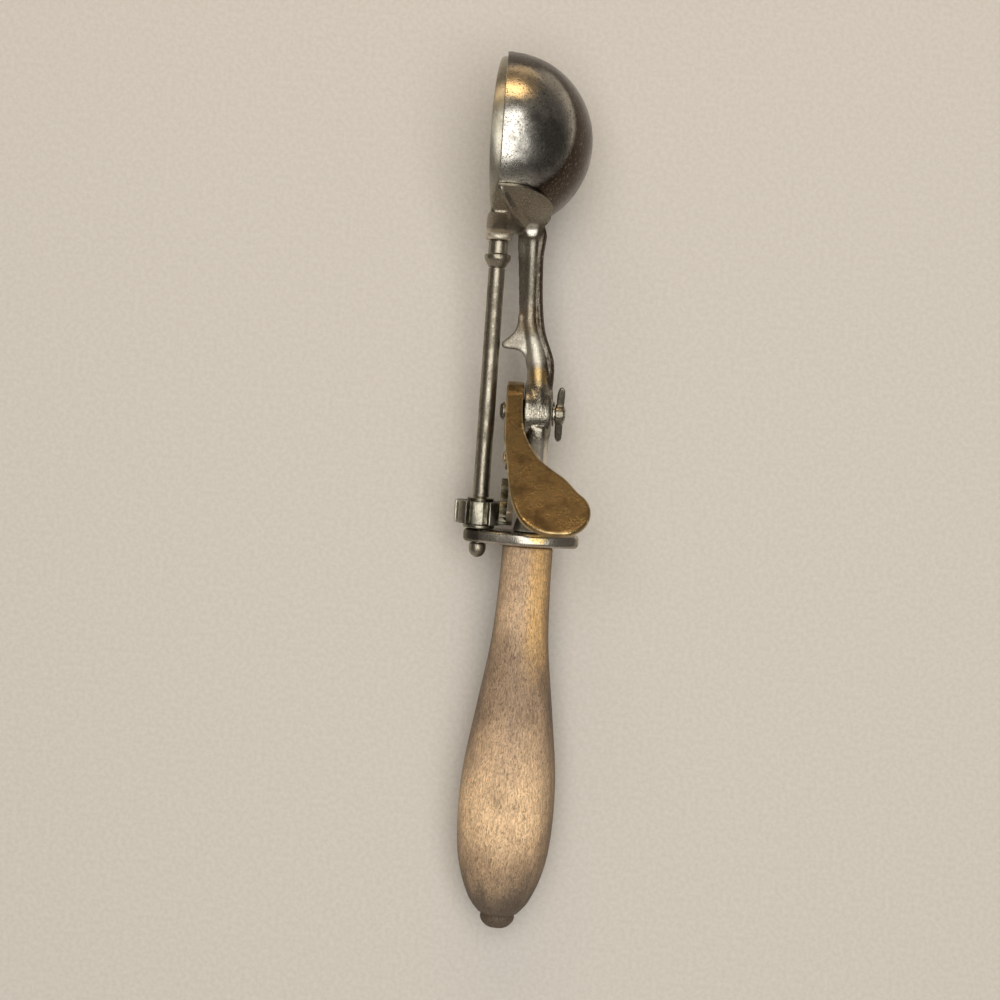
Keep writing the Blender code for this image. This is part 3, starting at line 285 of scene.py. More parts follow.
def slab(outline: Row, thickness: float, turn: Matrix) -> Mesh:
    """A flat plate with an outline, centred on its own plane.

    Args:
        outline: the outline's points.
        thickness: the plate's thickness.
        turn: where the outline's plane goes.

    Returns:
        The plate.
    """
    work = bmesh.new()
    low = [work.verts.new((x, y, -thickness / 2)) for x, y in (point[:2] for point in outline)]
    high = [work.verts.new((x, y, thickness / 2)) for x, y in (point[:2] for point in outline)]
    count = len(low)
    for i in range(count):
        j = (i + 1) % count
        work.faces.new((low[i], low[j], high[j], high[i]))
    work.faces.new(low)
    work.faces.new(list(reversed(high)))
    return from_work(work, turn)


def skin(sections: Sequence[Sequence[Point]], turn: Matrix = STILL) -> Mesh:
    """A solid through rings of points that all have the same count.

    Args:
        sections: the rings.
        turn: where the shape goes.

    Returns:
        The solid.
    """
    work = bmesh.new()
    rings = [[work.verts.new(point) for point in section] for section in sections]
    count = len(rings[0])
    for lower, upper in zip(rings, rings[1:]):
        for i in range(count):
            j = (i + 1) % count
            work.faces.new((lower[i], lower[j], upper[j], upper[i]))
    work.faces.new(rings[0])
    work.faces.new(list(reversed(rings[-1])))
    return from_work(work, turn)


def oval(x: float, y: float, half_x: float, half_z: float, count: int = 40,
         fullness: float = 2.0) -> list[Point]:
    """A ring of points round the tool's length.

    Args:
        x: the ring's middle.
        y: its station.
        half_x: half its width.
        half_z: half its depth.
        count: its points.
        fullness: 2 for an ellipse, more for squarer shoulders, and less for a sharper ridge.

    Returns:
        The ring.
    """
    ring = []
    for i in range(count):
        across, up = math.cos(2 * math.pi * i / count), math.sin(2 * math.pi * i / count)
        power = 2 / fullness
        ring.append((x + half_x * math.copysign(abs(across) ** power, across), y,
                     half_z * math.copysign(abs(up) ** power, up)))
    return ring


def block(size: float, turn: Matrix) -> Mesh:
    """A cube that cuts a plane."""
    half = size / 2
    return slab([(-half, -half), (half, -half), (half, half), (-half, half)], size, turn)


def together(*shapes: Mesh) -> Mesh:
    """Put shapes in one mesh.

    Args:
        shapes: the shapes.

    Returns:
        One mesh with all of them.
    """
    work = bmesh.new()
    for shape in shapes:
        work.from_mesh(shape)
    mesh = bpy.data.meshes.new("shape")
    work.to_mesh(mesh)
    work.free()
    return mesh


def shaped(mesh: Mesh, *steps: tuple[str, dict]) -> Mesh:
    """Run modifiers over a mesh and keep the result.

    Args:
        mesh: what to work on.
        steps: each modifier's kind and settings. A mesh among the settings is another shape.

    Returns:
        The worked mesh.
    """
    scene = bpy.context.scene.collection
    helpers = [bpy.data.objects.new("work", mesh)]
    for kind, settings in steps:
        modifier = helpers[0].modifiers.new(kind, kind)
        for key, value in settings.items():
            if isinstance(value, Mesh):
                value = bpy.data.objects.new("tool", value)
                helpers.append(value)
            setattr(modifier, key, value)
    for helper in helpers:
        scene.objects.link(helper)
    bpy.context.view_layer.update()
    depsgraph = bpy.context.evaluated_depsgraph_get()
    result = bpy.data.meshes.new_from_object(helpers[0].evaluated_get(depsgraph))
    for helper in helpers:
        bpy.data.objects.remove(helper, do_unlink=True)
    return result


def cast(shapes: Sequence[Mesh], grain: float, passes: int) -> Mesh:
    """Run shapes together with the soft corners of a casting.

    Args:
        shapes: closed shapes that overlap.
        grain: the size of the skin's faces in millimetres.
        passes: how many times the skin is evened out.

    Returns:
        One closed skin.
    """
    skin_step = ("REMESH", {"mode": "VOXEL", "voxel_size": grain, "use_smooth_shade": True})
    return shaped(together(*shapes), skin_step, ("SMOOTH", {"factor": 0.5, "iterations": passes}))


def combined(mesh: Mesh, operation: str, tools: Sequence[Mesh]) -> Mesh:
    """Run one exact boolean after another over a mesh."""
    settings = {"operation": operation, "solver": "EXACT"}
    return shaped(mesh, *[("BOOLEAN", settings | {"object": tool}) for tool in tools])


def merged(mesh: Mesh, *others: Mesh) -> Mesh:
    """Join shapes with crisp corners."""
    return combined(mesh, "UNION", others)


def drilled(mesh: Mesh, *tools: Mesh) -> Mesh:
    """Cut shapes out of a mesh."""
    return combined(mesh, "DIFFERENCE", tools)


def eased(mesh: Mesh, width: float, segments: int = 2, angle: float = 35.0) -> Mesh:
    """Break a mesh's sharp edges.

    Args:
        mesh: the mesh.
        width: the width of the broken edge.
        segments: faces across it.
        angle: edges sharper than this many degrees are broken.

    Returns:
        The eased mesh.
    """
    return shaped(mesh, ("BEVEL", {
        "width": width, "segments": segments, "limit_method": "ANGLE", "angle_limit": math.radians(angle),
        "use_clamp_overlap": True}))


@dataclass(frozen=True)
class Lay:
    """Where the scoop lies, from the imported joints."""

    tool: Matrix
    lever: Matrix

    @classmethod
    def from_joints(cls, joints: list[dict], rest_angle: float) -> "Lay":
        """Work out both frames.

        Args:
            joints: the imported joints.
            rest_angle: how far the lever stands off the pressed position, in radians.

        Returns:
            The frames of the tool and of the lever at rest.
        """
        by_name = {joint["name"]: joint for joint in joints}
        along = Vector(by_name["scraper_turn"]["axis"]).normalized()
        across = Vector((1.0, 0.0, 0.0))
        tool = Matrix((across, along, across.cross(along))).transposed().to_4x4()
        tool.translation = Vector(by_name["scraper_turn"]["pos_m"])
        pivot = tool.inverted() @ Vector(by_name["lever_press"]["pos_m"])
        return cls(tool, tool @ Matrix.Translation(pivot) @ Matrix.Rotation(-rest_angle, 4, "X"))


@dataclass
class Bench:
    """Puts finished pieces in the frame."""

    lay: Lay

    def stand(self, name: str, mesh: Mesh, finish: "Finish", body: Body, slot: Slot,
              *nodes: str, sharp: float = 40.0) -> bpy.types.Object:
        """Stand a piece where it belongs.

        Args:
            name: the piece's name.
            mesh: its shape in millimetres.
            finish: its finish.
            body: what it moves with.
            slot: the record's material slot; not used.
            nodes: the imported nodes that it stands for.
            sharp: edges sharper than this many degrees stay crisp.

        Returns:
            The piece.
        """
        mesh.name = name
        spots = mesh.attributes.new(PLACE, "FLOAT_VECTOR", "POINT")
        spots.data.foreach_set("vector", [value for vertex in mesh.vertices for value in vertex.co])
        mesh.transform((self.lay.lever if body is Body.LEVER else self.lay.tool) @ Matrix.Scale(MM, 4))
        mesh.materials.clear()
        mesh.materials.append(finish.material())
        mesh.shade_smooth()
        mesh.set_sharp_from_angle(angle=math.radians(sharp))
        piece = bpy.data.objects.new(name, mesh)
        bpy.context.scene.collection.objects.link(piece)
        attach(piece, body.value)
        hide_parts(*nodes)
        LOG.info("%s: %d faces", name, len(mesh.polygons))
        return piece

    @staticmethod
    def dress(node: str, finish: "Finish") -> None:
        """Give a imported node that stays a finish.

        Args:
            node: the node's name.
            finish: its finish.
        """
        item = frame["nodes"][node]
        item.data.materials.clear()
        item.data.materials.append(finish.material())
        LOG.info("%s: kept, in %s", node, finish.name)


def linear(colour: str) -> tuple[float, float, float, float]:
    """Turn an sRGB hex colour into a linear one.

    Args:
        colour: six hex digits.

    Returns:
        Red, green, blue and alpha.
    """
    parts = [int(colour.lstrip("#")[i:i + 2], 16) / 255 for i in (0, 2, 4)]
    return (*[p / 12.92 if p <= 0.04045 else ((p + 0.055) / 1.055) ** 2.4 for p in parts], 1.0)


def feed(tree: Tree, node: Node, feeds: dict) -> None:
    """Fill a node's sockets.

    Args:
        tree: the node tree.
        node: the node.
        feeds: for each of its sockets, the output that feeds it, a value, or an sRGB hex colour.
    """
    for key, source in feeds.items():
        if isinstance(source, Socket):
            tree.links.new(source, node.inputs[key])
        else:
            node.inputs[key].default_value = linear(source) if isinstance(source, str) else source


def add(tree: Tree, kind: str, settings: dict | None = None, feeds: dict | None = None) -> Node:
    """Add a node.

    Args:
        tree: the node tree.
        kind: the node's type.
        settings: its properties.
        feeds: what fills its sockets.

    Returns:
        The node.
    """
    node = tree.nodes.new(kind)
    for key, value in (settings or {}).items():
        setattr(node, key, value)
    feed(tree, node, feeds or {})
    return node


@dataclass(frozen=True)
class Finish:
    """A finish: what a surface is made of and how it was made."""

    name: str

    def material(self) -> bpy.types.Material:
        """The finish's material, made once.

        Returns:
            The material.
        """
        known = bpy.data.materials.get(self.name)
        if known:
            return known
        material = bpy.data.materials.new(self.name)
        material.use_nodes = True
        self.weave(material.node_tree, material.node_tree.nodes["Principled BSDF"])
        return material

    def weave(self, tree: Tree, shader: Node) -> None:
        """Build the finish's nodes on a shader."""
        raise NotImplementedError

    @staticmethod
    def place(tree: Tree, stretch: Point = (1.0, 1.0, 1.0)) -> Socket:
        """The point on the piece in millimetres, stretched for patterns that run one way.

        Every piece carries it, so a pattern keeps to its piece when that moves.

        Args:
            tree: the node tree.
            stretch: how fast the pattern changes along each direction.

        Returns:
            The socket.
        """
        spot = add(tree, "ShaderNodeAttribute", {"attribute_name": PLACE})
        feeds = {"Scale": stretch, "Vector": spot.outputs["Vector"]}
        return add(tree, "ShaderNodeMapping", feeds=feeds).outputs[0]

    @staticmethod
    def frame_place(tree: Tree) -> Socket:
        """The point in millimetres on a mesh that carries no attribute.

        Args:
            tree: the node tree.

        Returns:
            The socket.
        """
        spot = add(tree, "ShaderNodeTexCoord")
        feeds = {"Scale": (1 / MM, 1 / MM, 1 / MM), "Vector": spot.outputs["Object"]}
        return add(tree, "ShaderNodeMapping", feeds=feeds).outputs[0]

    @staticmethod
    def cloud(tree: Tree, place: Socket, size: float, low: float, high: float, detail: float = 4.0) -> Socket:
        """Blotches of a size in millimetres.

        Args:
            tree: the node tree.
            place: the point in millimetres.
            size: how far apart the blotches are.
            low: the noise value that gives 0.
            high: the noise value that gives 1.
            detail: how rough their outlines are.

        Returns:
            A value from 0 to 1.
        """
        noise = add(tree, "ShaderNodeTexNoise", feeds={
            "Scale": 1 / size, "Detail": detail, "Roughness": 0.6, "Vector": place})
        feeds = {"From Min": low, "From Max": high, "Value": noise.outputs["Fac"]}
        return add(tree, RANGE, SOFT, feeds).outputs[0]

    @staticmethod
    def laid(tree: Tree, under: Socket | str, over: str, amount: Socket,
             share: Socket | float | None = None) -> Socket:
        """Lay a colour over another.

        Args:
            tree: the node tree.
            under: the lower colour.
            over: the upper colour.
            amount: where the upper colour lies, from 0 to 1.
            share: the most of it that shows, if that is less than all.

        Returns:
            The colour of both.
        """
        if share is not None:
            amount = add(tree, MATH, TIMES, {0: amount, 1: share}).outputs[0]
        return add(tree, MIX, COLOURS, {0: amount, 6: under, 7: over}).outputs[2]

    @staticmethod
    def worn_edges(tree: Tree, low: float, high: float, share: float) -> Socket:
        """Where edges stand out and get rubbed.

        Args:
            tree: the node tree.
            low: the pointiness where rubbing starts.
            high: the pointiness where it is full.
            share: the most that it gives.

        Returns:
            A value from 0 to the share.
        """
        spot = add(tree, "ShaderNodeNewGeometry")
        return add(tree, RANGE, feeds={
            "From Min": low, "From Max": high, "To Max": share,
            "Value": spot.outputs["Pointiness"]}).outputs[0]


@dataclass(frozen=True)
class Patch:
    """A place on a piece where age has changed the surface, or where light or shade is painted on it.

    It is a ball in the piece's own millimetres. A gloss below 0 leaves the roughness as it is.
    """

    centre: Point
    radius: float
    colour: str
    strength: float = 1.0
    ragged: float = 0.35
    gloss: float = -1.0


@dataclass(frozen=True)
class WornNickel(Finish):
    """Nickel plated on brass or iron, rubbed by years of use.

    The plate is a warm grey mirror gone soft. Tarnish lies on it in clouds, pits show as dark
    specks, and fine scratches show as short bright marks and spread the highlights. Pits and
    scratches are drawn a few times as wide as real ones, so that they show.
    """

    plate: str = "#C9C3B6"
    tarnish: str = "#6E6658"
    speck: str = "#37342E"
    bare: str = "#E6E0D2"
    cloud_size: float = 9.0
    speck_size: float = 0.55
    tarnish_share: float = 0.55
    speck_share: float = 0.5
    bright_share: float = 0.25
    gloss: float = 0.17
    dull: float = 0.36
    edge: float = 0.5
    relief: float = 0.35
    relief_depth: float = 0.02
    scratch: Point = (1.0, 0.06, 1.0)
    patches: tuple[Patch, ...] = ()

    def weave(self, tree: Tree, shader: Node) -> None:
        """Lay tarnish, specks, patches of wear and of painted light, and bright edges on the plate.

        Args:
            tree: the node tree.
            shader: the surface shader.
        """
        place = self.place(tree)
        clouds = self.cloud(tree, place, self.cloud_size, 0.42, 0.66)
        colour = self.laid(tree, self.plate, self.tarnish, clouds, self.tarnish_share)
        # The piece's own painted shading: a painted reflection on the bowl, painted shade on the shank.
        colour = self.painted_shading(tree, place, colour)
        # Patches of wear, and patches of painted highlight, reflection and shade.
        reaches = [self.reach(tree, place, patch) for patch in self.patches]
        for patch, reach in zip(self.patches, reaches):
            colour = self.laid(tree, colour, patch.colour, reach)
        specks = self.cloud(tree, place, self.speck_size, 0.54, 0.68, 2.0)
        colour = self.laid(tree, colour, self.speck, specks, self.speck_share)
        marks = self.cloud(tree, self.place(tree, (1.0, 0.4, 1.6)), self.speck_size, 0.57, 0.68, 3.0)
        colour = self.laid(tree, colour, self.bare, marks, self.bright_share)
        edges = self.worn_edges(tree, 0.52, 0.62, self.edge)
        colour = self.laid(tree, colour, self.bare, edges)
        scratches = self.cloud(tree, self.place(tree, self.scratch), 0.35, 0.35, 0.7, 2.0)
        haze = add(tree, MATH, TIMES_PLUS, {0: scratches, 1: 0.3, 2: clouds}).outputs[0]
        rough = add(tree, RANGE, feeds={
            "From Max": 1.3, "To Min": self.gloss, "To Max": self.dull, "Value": haze}).outputs[0]
        for patch, reach in zip(self.patches, reaches):
            if patch.gloss > 0:
                rough = add(tree, MIX, feeds={0: reach, 2: rough, 3: patch.gloss}).outputs[0]
        relief = add(tree, MATH, TIMES_PLUS, {0: specks, 1: -1.5, 2: scratches}).outputs[0]
        bump = add(tree, "ShaderNodeBump", feeds={
            "Strength": self.relief, "Distance": self.relief_depth * MM, "Height": relief})
        feed(tree, shader, {
            "Base Color": colour, "Metallic": 1.0, "Roughness": rough, "Normal": bump.outputs[0]})

    def painted_shading(self, tree: Tree, place: Socket, colour: Socket) -> Socket:
        """The colour with the piece's own painted shading, which most pieces don't have."""
        return colour

    def reach(self, tree: Tree, place: Socket, patch: Patch) -> Socket:
        """How much of a patch shows at a point.

        Args:
            tree: the node tree.
            place: the point in millimetres.
            patch: the patch.

        Returns:
            A value from 0 to the patch's strength.
        """
        away = add(tree, "ShaderNodeVectorMath", {"operation": "DISTANCE"}, {0: place, 1: patch.centre})
        fray = add(tree, "ShaderNodeTexNoise", feeds={
            "Scale": 3.2 / patch.radius, "Detail": 5.0, "Vector": place})
        distance = add(tree, MATH, TIMES_PLUS, {
            0: fray.outputs["Fac"], 1: patch.radius * patch.ragged * 2, 2: away.outputs["Value"]}).outputs[0]
        return add(tree, RANGE, SOFT, {
            "From Min": patch.radius * (1.2 + patch.ragged), "From Max": patch.radius * (0.6 + patch.ragged),
            "To Max": patch.strength, "Value": distance}).outputs[0]


@dataclass(frozen=True)
class SpunNickel(WornNickel):
    """Nickel on the spun bowl, with a painted brown reflection round the outside of its dome.

    The brown is a painted dark reflection where the dome's outside lies low, and it stops along a soft line.
    The inside stays plated.
    """

    # The colour of the painted dark reflection on the dome's sides.
    brown: str = "#37271B"
    share: float = 0.95
    middle: Point = (0.0, 121.0, 0.0)
    outside: float = 26.7
    line: float = 34.5
    lean: float = 0.14
    edge_width: float = 0.9

    def painted_shading(self, tree: Tree, place: Socket, colour: Socket) -> Socket:
        """The plate's colour with the painted brown reflection over its sides.

        Args:
            tree: the node tree.
            place: the point in millimetres.
            colour: the plate's colour.

        Returns:
            The stained colour.
        """
        split = add(tree, "ShaderNodeSeparateXYZ", feeds={"Vector": place})
        height = add(tree, MATH, {"operation": "ABSOLUTE"}, {0: split.outputs["Z"]}).outputs[0]
        tide = add(tree, MATH, TIMES_PLUS, {0: split.outputs["Y"], 1: self.lean, 2: height}).outputs[0]
        # Painted brown reflection where the dome's outside lies low, towards its sides.
        side = add(tree, RANGE, SOFT, {
            "From Min": self.line + self.edge_width, "From Max": self.line - self.edge_width,
            "To Max": self.share, "Value": tide}).outputs[0]
        away = add(tree, "ShaderNodeVectorMath", {"operation": "DISTANCE"}, {0: place, 1: self.middle})
        outer = add(tree, RANGE, feeds={
            "From Min": self.outside - 0.1, "From Max": self.outside + 0.1,
            "Value": away.outputs["Value"]}).outputs[0]
        return self.laid(tree, colour, self.brown, side, outer)


@dataclass(frozen=True)
class CastNickel(WornNickel):
    """Nickel over a sand casting, smooth but not flat, with painted brown shade down its back edge.

    Only the boss and the ledges that hands reach keep their polish. The rest is a soft grey.
    """

    # The colour of the painted shade on the side that faces the dome.
    back_shade: str = "#453728"
    back_shade_share: float = 0.85

    def painted_shading(self, tree: Tree, place: Socket, colour: Socket) -> Socket:
        """The plate's colour with painted brown shade where the casting faces the bowl's dome side.

        Args:
            tree: the node tree.
            place: the point in millimetres.
            colour: the plate's colour.

        Returns:
            The colour with the painted brown shade.
        """
        normal = add(tree, "ShaderNodeTexCoord").outputs["Normal"]
        facing = add(tree, "ShaderNodeSeparateXYZ", feeds={"Vector": normal})
        # Painted shade where the surface faces the dome's side.
        back = add(tree, RANGE, SOFT, {
            "From Min": 0.35, "From Max": 0.8, "To Max": self.back_shade_share,
            "Value": facing.outputs["X"]}).outputs[0]
        return self.laid(tree, colour, self.back_shade, back)


@dataclass(frozen=True)
class AgedBrass(Finish):
    """Cast brass with a brown skin, polished by the thumb along its edges.

    The brown is uneven and slightly green where it is thickest, and the rubbed edges are gold.
    """

    skin: str = "#A88D63"
    deep: str = "#5F4D36"
    gold: str = "#DEC48F"
    olive: str = "#7C7355"
    gloss: float = 0.22
    dull: float = 0.4
    grain_size: float = 0.8
    grain_depth: float = 0.05

    def weave(self, tree: Tree, shader: Node) -> None:
        """Lay the brown skin, its dark pores and the rubbed edges.

        Args:
            tree: the node tree.
            shader: the surface shader.
        """
        place = self.place(tree)
        clouds = self.cloud(tree, place, 7.0, 0.36, 0.68, 6.0)
        colour = self.laid(tree, self.skin, self.deep, clouds)
        green = self.cloud(tree, self.place(tree, (1.0, 0.7, 1.3)), 12.0, 0.5, 0.7)
        colour = self.laid(tree, colour, self.olive, green, 0.5)
        pores = self.cloud(tree, place, 0.5, 0.54, 0.7, 2.0)
        colour = self.laid(tree, colour, self.deep, pores, 0.5)
        edges = self.worn_edges(tree, 0.51, 0.58, 0.9)
        colour = self.laid(tree, colour, self.gold, edges)
        rough = add(tree, RANGE, feeds={"To Min": self.gloss, "To Max": self.dull, "Value": clouds})
        grain = self.cloud(tree, place, self.grain_size, 0.3, 0.7, 5.0)
        bump = add(tree, "ShaderNodeBump", feeds={
            "Strength": 0.5, "Distance": self.grain_depth * MM, "Height": grain})
        feed(tree, shader, {
            "Base Color": colour, "Metallic": 1.0, "Roughness": rough.outputs[0], "Normal": bump.outputs[0]})


@dataclass(frozen=True)
class TurnedBeech(Finish):
    """Turned beech, its varnish long gone, bleached where it was washed, with painted shade on its unlit
    side.

    Short pores and pale flecks run along the grain, and broad bands of darker and paler wood cross
    them. The flecks are drawn about twice as wide as real ones, so that they show.
    """

    pale: str = "#F2CDA2"
    fair: str = "#D6B592"
    tan: str = "#B89A7A"
    gold: str = "#E8BA7C"
    brown: str = "#A48A70"
    grey: str = "#6E5F50"
    # Also the colour of the painted shade on the side away from the light.
    shade: str = "#5C4E40"
    pore: str = "#4A3727"
    # Surfaces that turn away from this direction get the painted shade.
    lit_side: Point = (-0.22, 0.0, 1.0)
    butt: float = -126.0
    top: float = 6.0
    drift: float = 12.0
    fibres_per_mm: float = 2.2
    grain_depth: float = 0.08
    dull: float = 0.62
    sheen: float = 0.35

    def weave(self, tree: Tree, shader: Node) -> None:
        """Lay the zones along the handle and the painted shade round it, then soil, grain and pores.

        Args:
            tree: the node tree.
            shader: the surface shader.
        """
        place = self.place(tree)
        colour = self.shaded(tree, self.zones(tree, place))
        dirt = self.cloud(tree, self.place(tree, (1.0, 0.6, 1.0)), 9.0, 0.5, 0.72, 8.0)
        colour = self.laid(tree, colour, self.grey, dirt, 0.35)
        wavy = add(tree, "ShaderNodeTexNoise", feeds={"Scale": 0.35, "Detail": 2.0, "Vector": place})
        swerve = add(tree, "ShaderNodeVectorMath", TIMES_PLUS, {
            0: wavy.outputs["Color"], 1: (1.6, 1.6, 1.6), 2: self.place(tree, (1.0, 0.22, 1.0))})
        fibres = add(tree, "ShaderNodeTexNoise", feeds={
            "Scale": self.fibres_per_mm, "Detail": 4.0, "Roughness": 0.75, "Vector": swerve.outputs[0]})
        fleck = add(tree, RANGE, feeds={
            "From Min": 0.36, "From Max": 0.64, "To Min": 0.62, "To Max": 1.34,
            "Value": fibres.outputs["Fac"]})
        colour = add(tree, "ShaderNodeVectorMath", {"operation": "SCALE"}, {
            0: colour, "Scale": fleck.outputs[0]}).outputs[0]
        pores = self.cloud(tree, swerve.outputs[0], 0.3, 0.56, 0.66, 1.0)
        colour = self.laid(tree, colour, self.pore, pores, 0.5)
        ridge = add(tree, MATH, TIMES_PLUS, {0: pores, 1: -1.0, 2: fibres.outputs["Fac"]}).outputs[0]
        bump = add(tree, "ShaderNodeBump", feeds={
            "Strength": 0.6, "Distance": self.grain_depth * MM, "Height": ridge})
        feed(tree, shader, {
            "Base Color": colour, "Roughness": self.dull, "Specular IOR Level": self.sheen,
            "Normal": bump.outputs[0]})

    def zones(self, tree: Tree, place: Socket) -> Socket:
        """The broad bands along the handle, and the gold on its right side near the guard plate.

        Args:
            tree: the node tree.
            place: the point in millimetres.

        Returns:
            The colour of the bands.
        """
        split = add(tree, "ShaderNodeSeparateXYZ", feeds={"Vector": place})
        drift = self.cloud(tree, self.place(tree, (1.0, 0.4, 1.0)), 8.0, 0.2, 0.8, 6.0)
        moved = add(tree, MATH, TIMES_PLUS, {0: drift, 1: self.drift, 2: split.outputs["Y"]}).outputs[0]
        along = add(tree, RANGE, feeds={"From Min": self.butt, "From Max": self.top, "Value": moved})
        ramp = add(tree, "ShaderNodeValToRGB", feeds={"Fac": along.outputs[0]})
        stops = (
            (0.0, self.shade), (0.07, self.shade), (0.13, self.grey), (0.23, self.tan), (0.32, self.pale),
            (0.38, self.pale), (0.46, self.fair), (0.58, self.brown), (0.72, self.brown), (0.82, self.fair),
            (0.93, self.fair), (1.0, self.tan))
        band = ramp.color_ramp
        while len(band.elements) < len(stops):
            band.elements.new(0.5)
        for element, (position, colour) in zip(band.elements, stops):
            element.position = position
            element.color = linear(colour)
        right = add(tree, RANGE, SOFT, {
            "From Min": HANDLE_X - 1.0, "From Max": HANDLE_X + 4.0, "Value": split.outputs["X"]})
        upper = add(tree, RANGE, feeds={"From Min": -44.0, "From Max": -22.0, "To Max": 0.85, "Value": moved})
        return self.laid(tree, ramp.outputs[0], self.gold, right.outputs[0], upper.outputs[0])

    def shaded(self, tree: Tree, colour: Socket) -> Socket:
        """The colour with painted shade where the handle's surface turns away from its lit side.

        Args:
            tree: the node tree.
            colour: the wood's colour.

        Returns:
            The shaded colour.
        """
        normal = add(tree, "ShaderNodeTexCoord").outputs["Normal"]
        facing = add(tree, "ShaderNodeVectorMath", {"operation": "DOT_PRODUCT"}, {
            0: normal, 1: self.lit_side})
        blotch = self.cloud(tree, self.place(tree, (1.0, 0.3, 1.0)), 6.0, 0.3, 0.7, 6.0)
        turned = add(tree, MATH, TIMES_PLUS, {0: blotch, 1: -0.35, 2: facing.outputs["Value"]}).outputs[0]
        # Painted shade on the surfaces that turn away from the lit side.
        painted_shade_amount = add(tree, RANGE, feeds={"From Min": 0.58, "From Max": -0.1, "To Max": 0.75, "Value": turned})
        return self.laid(tree, colour, self.shade, painted_shade_amount.outputs[0])


@dataclass(frozen=True)
class DarkIron(Finish):
    """Forged or drawn iron inside the tool, dull and slightly rusted."""

    metal: str = "#5B5650"
    rust: str = "#5A3622"

    def weave(self, tree: Tree, shader: Node) -> None:
        """Lay rust clouds on the dull metal.

        Args:
            tree: the node tree.
            shader: the surface shader.
        """
        place = self.frame_place(tree)
        rust = self.cloud(tree, place, 2.5, 0.5, 0.68, 5.0)
        colour = self.laid(tree, self.metal, self.rust, rust)
        rough = add(tree, RANGE, feeds={"To Min": 0.4, "To Max": 0.75, "Value": rust})
        feed(tree, shader, {"Base Color": colour, "Metallic": 1.0, "Roughness": rough.outputs[0]})


@dataclass(frozen=True)
class StudioPaper(Finish):
    """Matt paper roll under the tool, pale and a little warm."""

    paper: str = "#D8D2CA"
    shade: str = "#D0C9C0"

    def weave(self, tree: Tree, shader: Node) -> None:
        """Lay faint paper fibres.

        Args:
            tree: the node tree.
            shader: the surface shader.
        """
        fibres = self.cloud(tree, self.frame_place(tree), 1.4, 0.3, 0.7, 5.0)
        colour = self.laid(tree, self.paper, self.shade, fibres)
        feed(tree, shader, {"Base Color": colour, "Roughness": 0.9, "Specular IOR Level": 0.1})


# The spun bowl: a soft mirror with pits, with painted reflections: a dark one beside the lamp's highlight, a
# dark brown one at the tip and a warm highlight over a gold burnish.
SPUN_NICKEL = SpunNickel(
    "spun nickel plate", plate="#B4B0A8", tarnish="#85807A", tarnish_share=0.5, speck_share=0.75,
    speck_size=0.6, bright_share=0.24, gloss=0.18, dull=0.34, edge=0.2, patches=(
        # A painted dark reflection beside the overhead lamp's highlight.
        Patch((11.0, 118.0, 22.0), 9.5, "#54524E", 0.7, 0.5),
        # A painted dark brown reflection at the tip.
        Patch((4.0, 146.5, 11.0), 11.5, "#3A2F26", 0.95, 0.1),
        # A painted warm highlight over a gold burnish.
        Patch((3.0, 135.5, 21.5), 6.8, "#EDD6B2", 0.95, 0.3)))
# Rolled strip: fine lines along it turn the shine to satin.
BLADE_NICKEL = WornNickel(
    "rolled nickel strip", plate="#A19B8D", tarnish="#7A715F", tarnish_share=0.5, speck_share=0.25, gloss=0.3,
    dull=0.42, scratch=(1.0, 1.0, 0.1))
# Where painted brown shade runs down the stem's back edge.
SHADED_EDGE = (
    (16.8, 93.0), (16.3, 88.0), (16.2, 83.0), (16.4, 78.0), (16.8, 73.0), (17.3, 68.0), (18.4, 63.0),
    (20.4, 58.5), (21.6, 54.0), (21.9, 49.0))
# The cast shank: satin, with a bright rib end, horn and boss. Painted shade lies left of the rib and down the
# back edge, a painted highlight on the lower web and a painted warm highlight above the boss.
CAST_NICKEL = CastNickel(
    "cast nickel plate", plate="#A19A8D", tarnish="#7C7465", tarnish_share=0.7, speck_share=0.5,
    speck_size=0.45, bright_share=0.35, gloss=0.48, dull=0.7, edge=0.35, relief=0.45, relief_depth=0.04,
    patches=(
        Patch((3.0, 100.0, 17.0), 17.0, "#786F60", 0.8, 0.15, 0.27),
        Patch((0.0, 91.5, 4.0), 5.0, "#DCD2C0", 0.9, 0.2, 0.4),
        Patch((10.0, 93.4, 7.5), 2.6, "#D2CEC5", 0.95, 0.1, 0.45),
        # Painted shade on the wing left of the rib.
        Patch((7.0, 78.0, 1.0), 9.0, "#6F6A5C", 0.5, 0.3),
        Patch((11.5, 66.0, 3.6), 5.0, "#8F7B58", 0.4, 0.5),
        Patch((13.5, 57.0, 4.2), 5.0, "#D6D0C2", 0.8, 0.5),
        # Painted brown shade down the back edge.
        *(Patch((x, y, 1.0), 5.0, "#45382B", 0.9, 0.15) for x, y in SHADED_EDGE),
        # A painted warm highlight above the boss.
        Patch((15.0, 48.5, 6.0), 3.8, "#B8985C", 0.8, 0.5, 0.33),
        Patch((15.5, 37.5, 8.0), 10.0, "#8A8477", 0.85, 0.2, 0.12),
        # A painted highlight on the lower web.
        Patch((16.0, 21.0, 5.0), 9.0, "#E2DACB", 0.9, 0.3, 0.26)))
# The dressed guard plate: filed smooth, so it shines more, with brass through it in one place.
GUARD_NICKEL = WornNickel(
    "dressed nickel casting", plate="#B8B1A5", tarnish="#83776A", gloss=0.22, dull=0.38, edge=0.3, patches=(
        Patch((19.0, 0.0, 9.0), 3.5, "#C2A566", 0.8, 0.5),
        Patch((-3.0, -2.0, 2.0), 5.0, "#565044", 0.8, 0.3)))
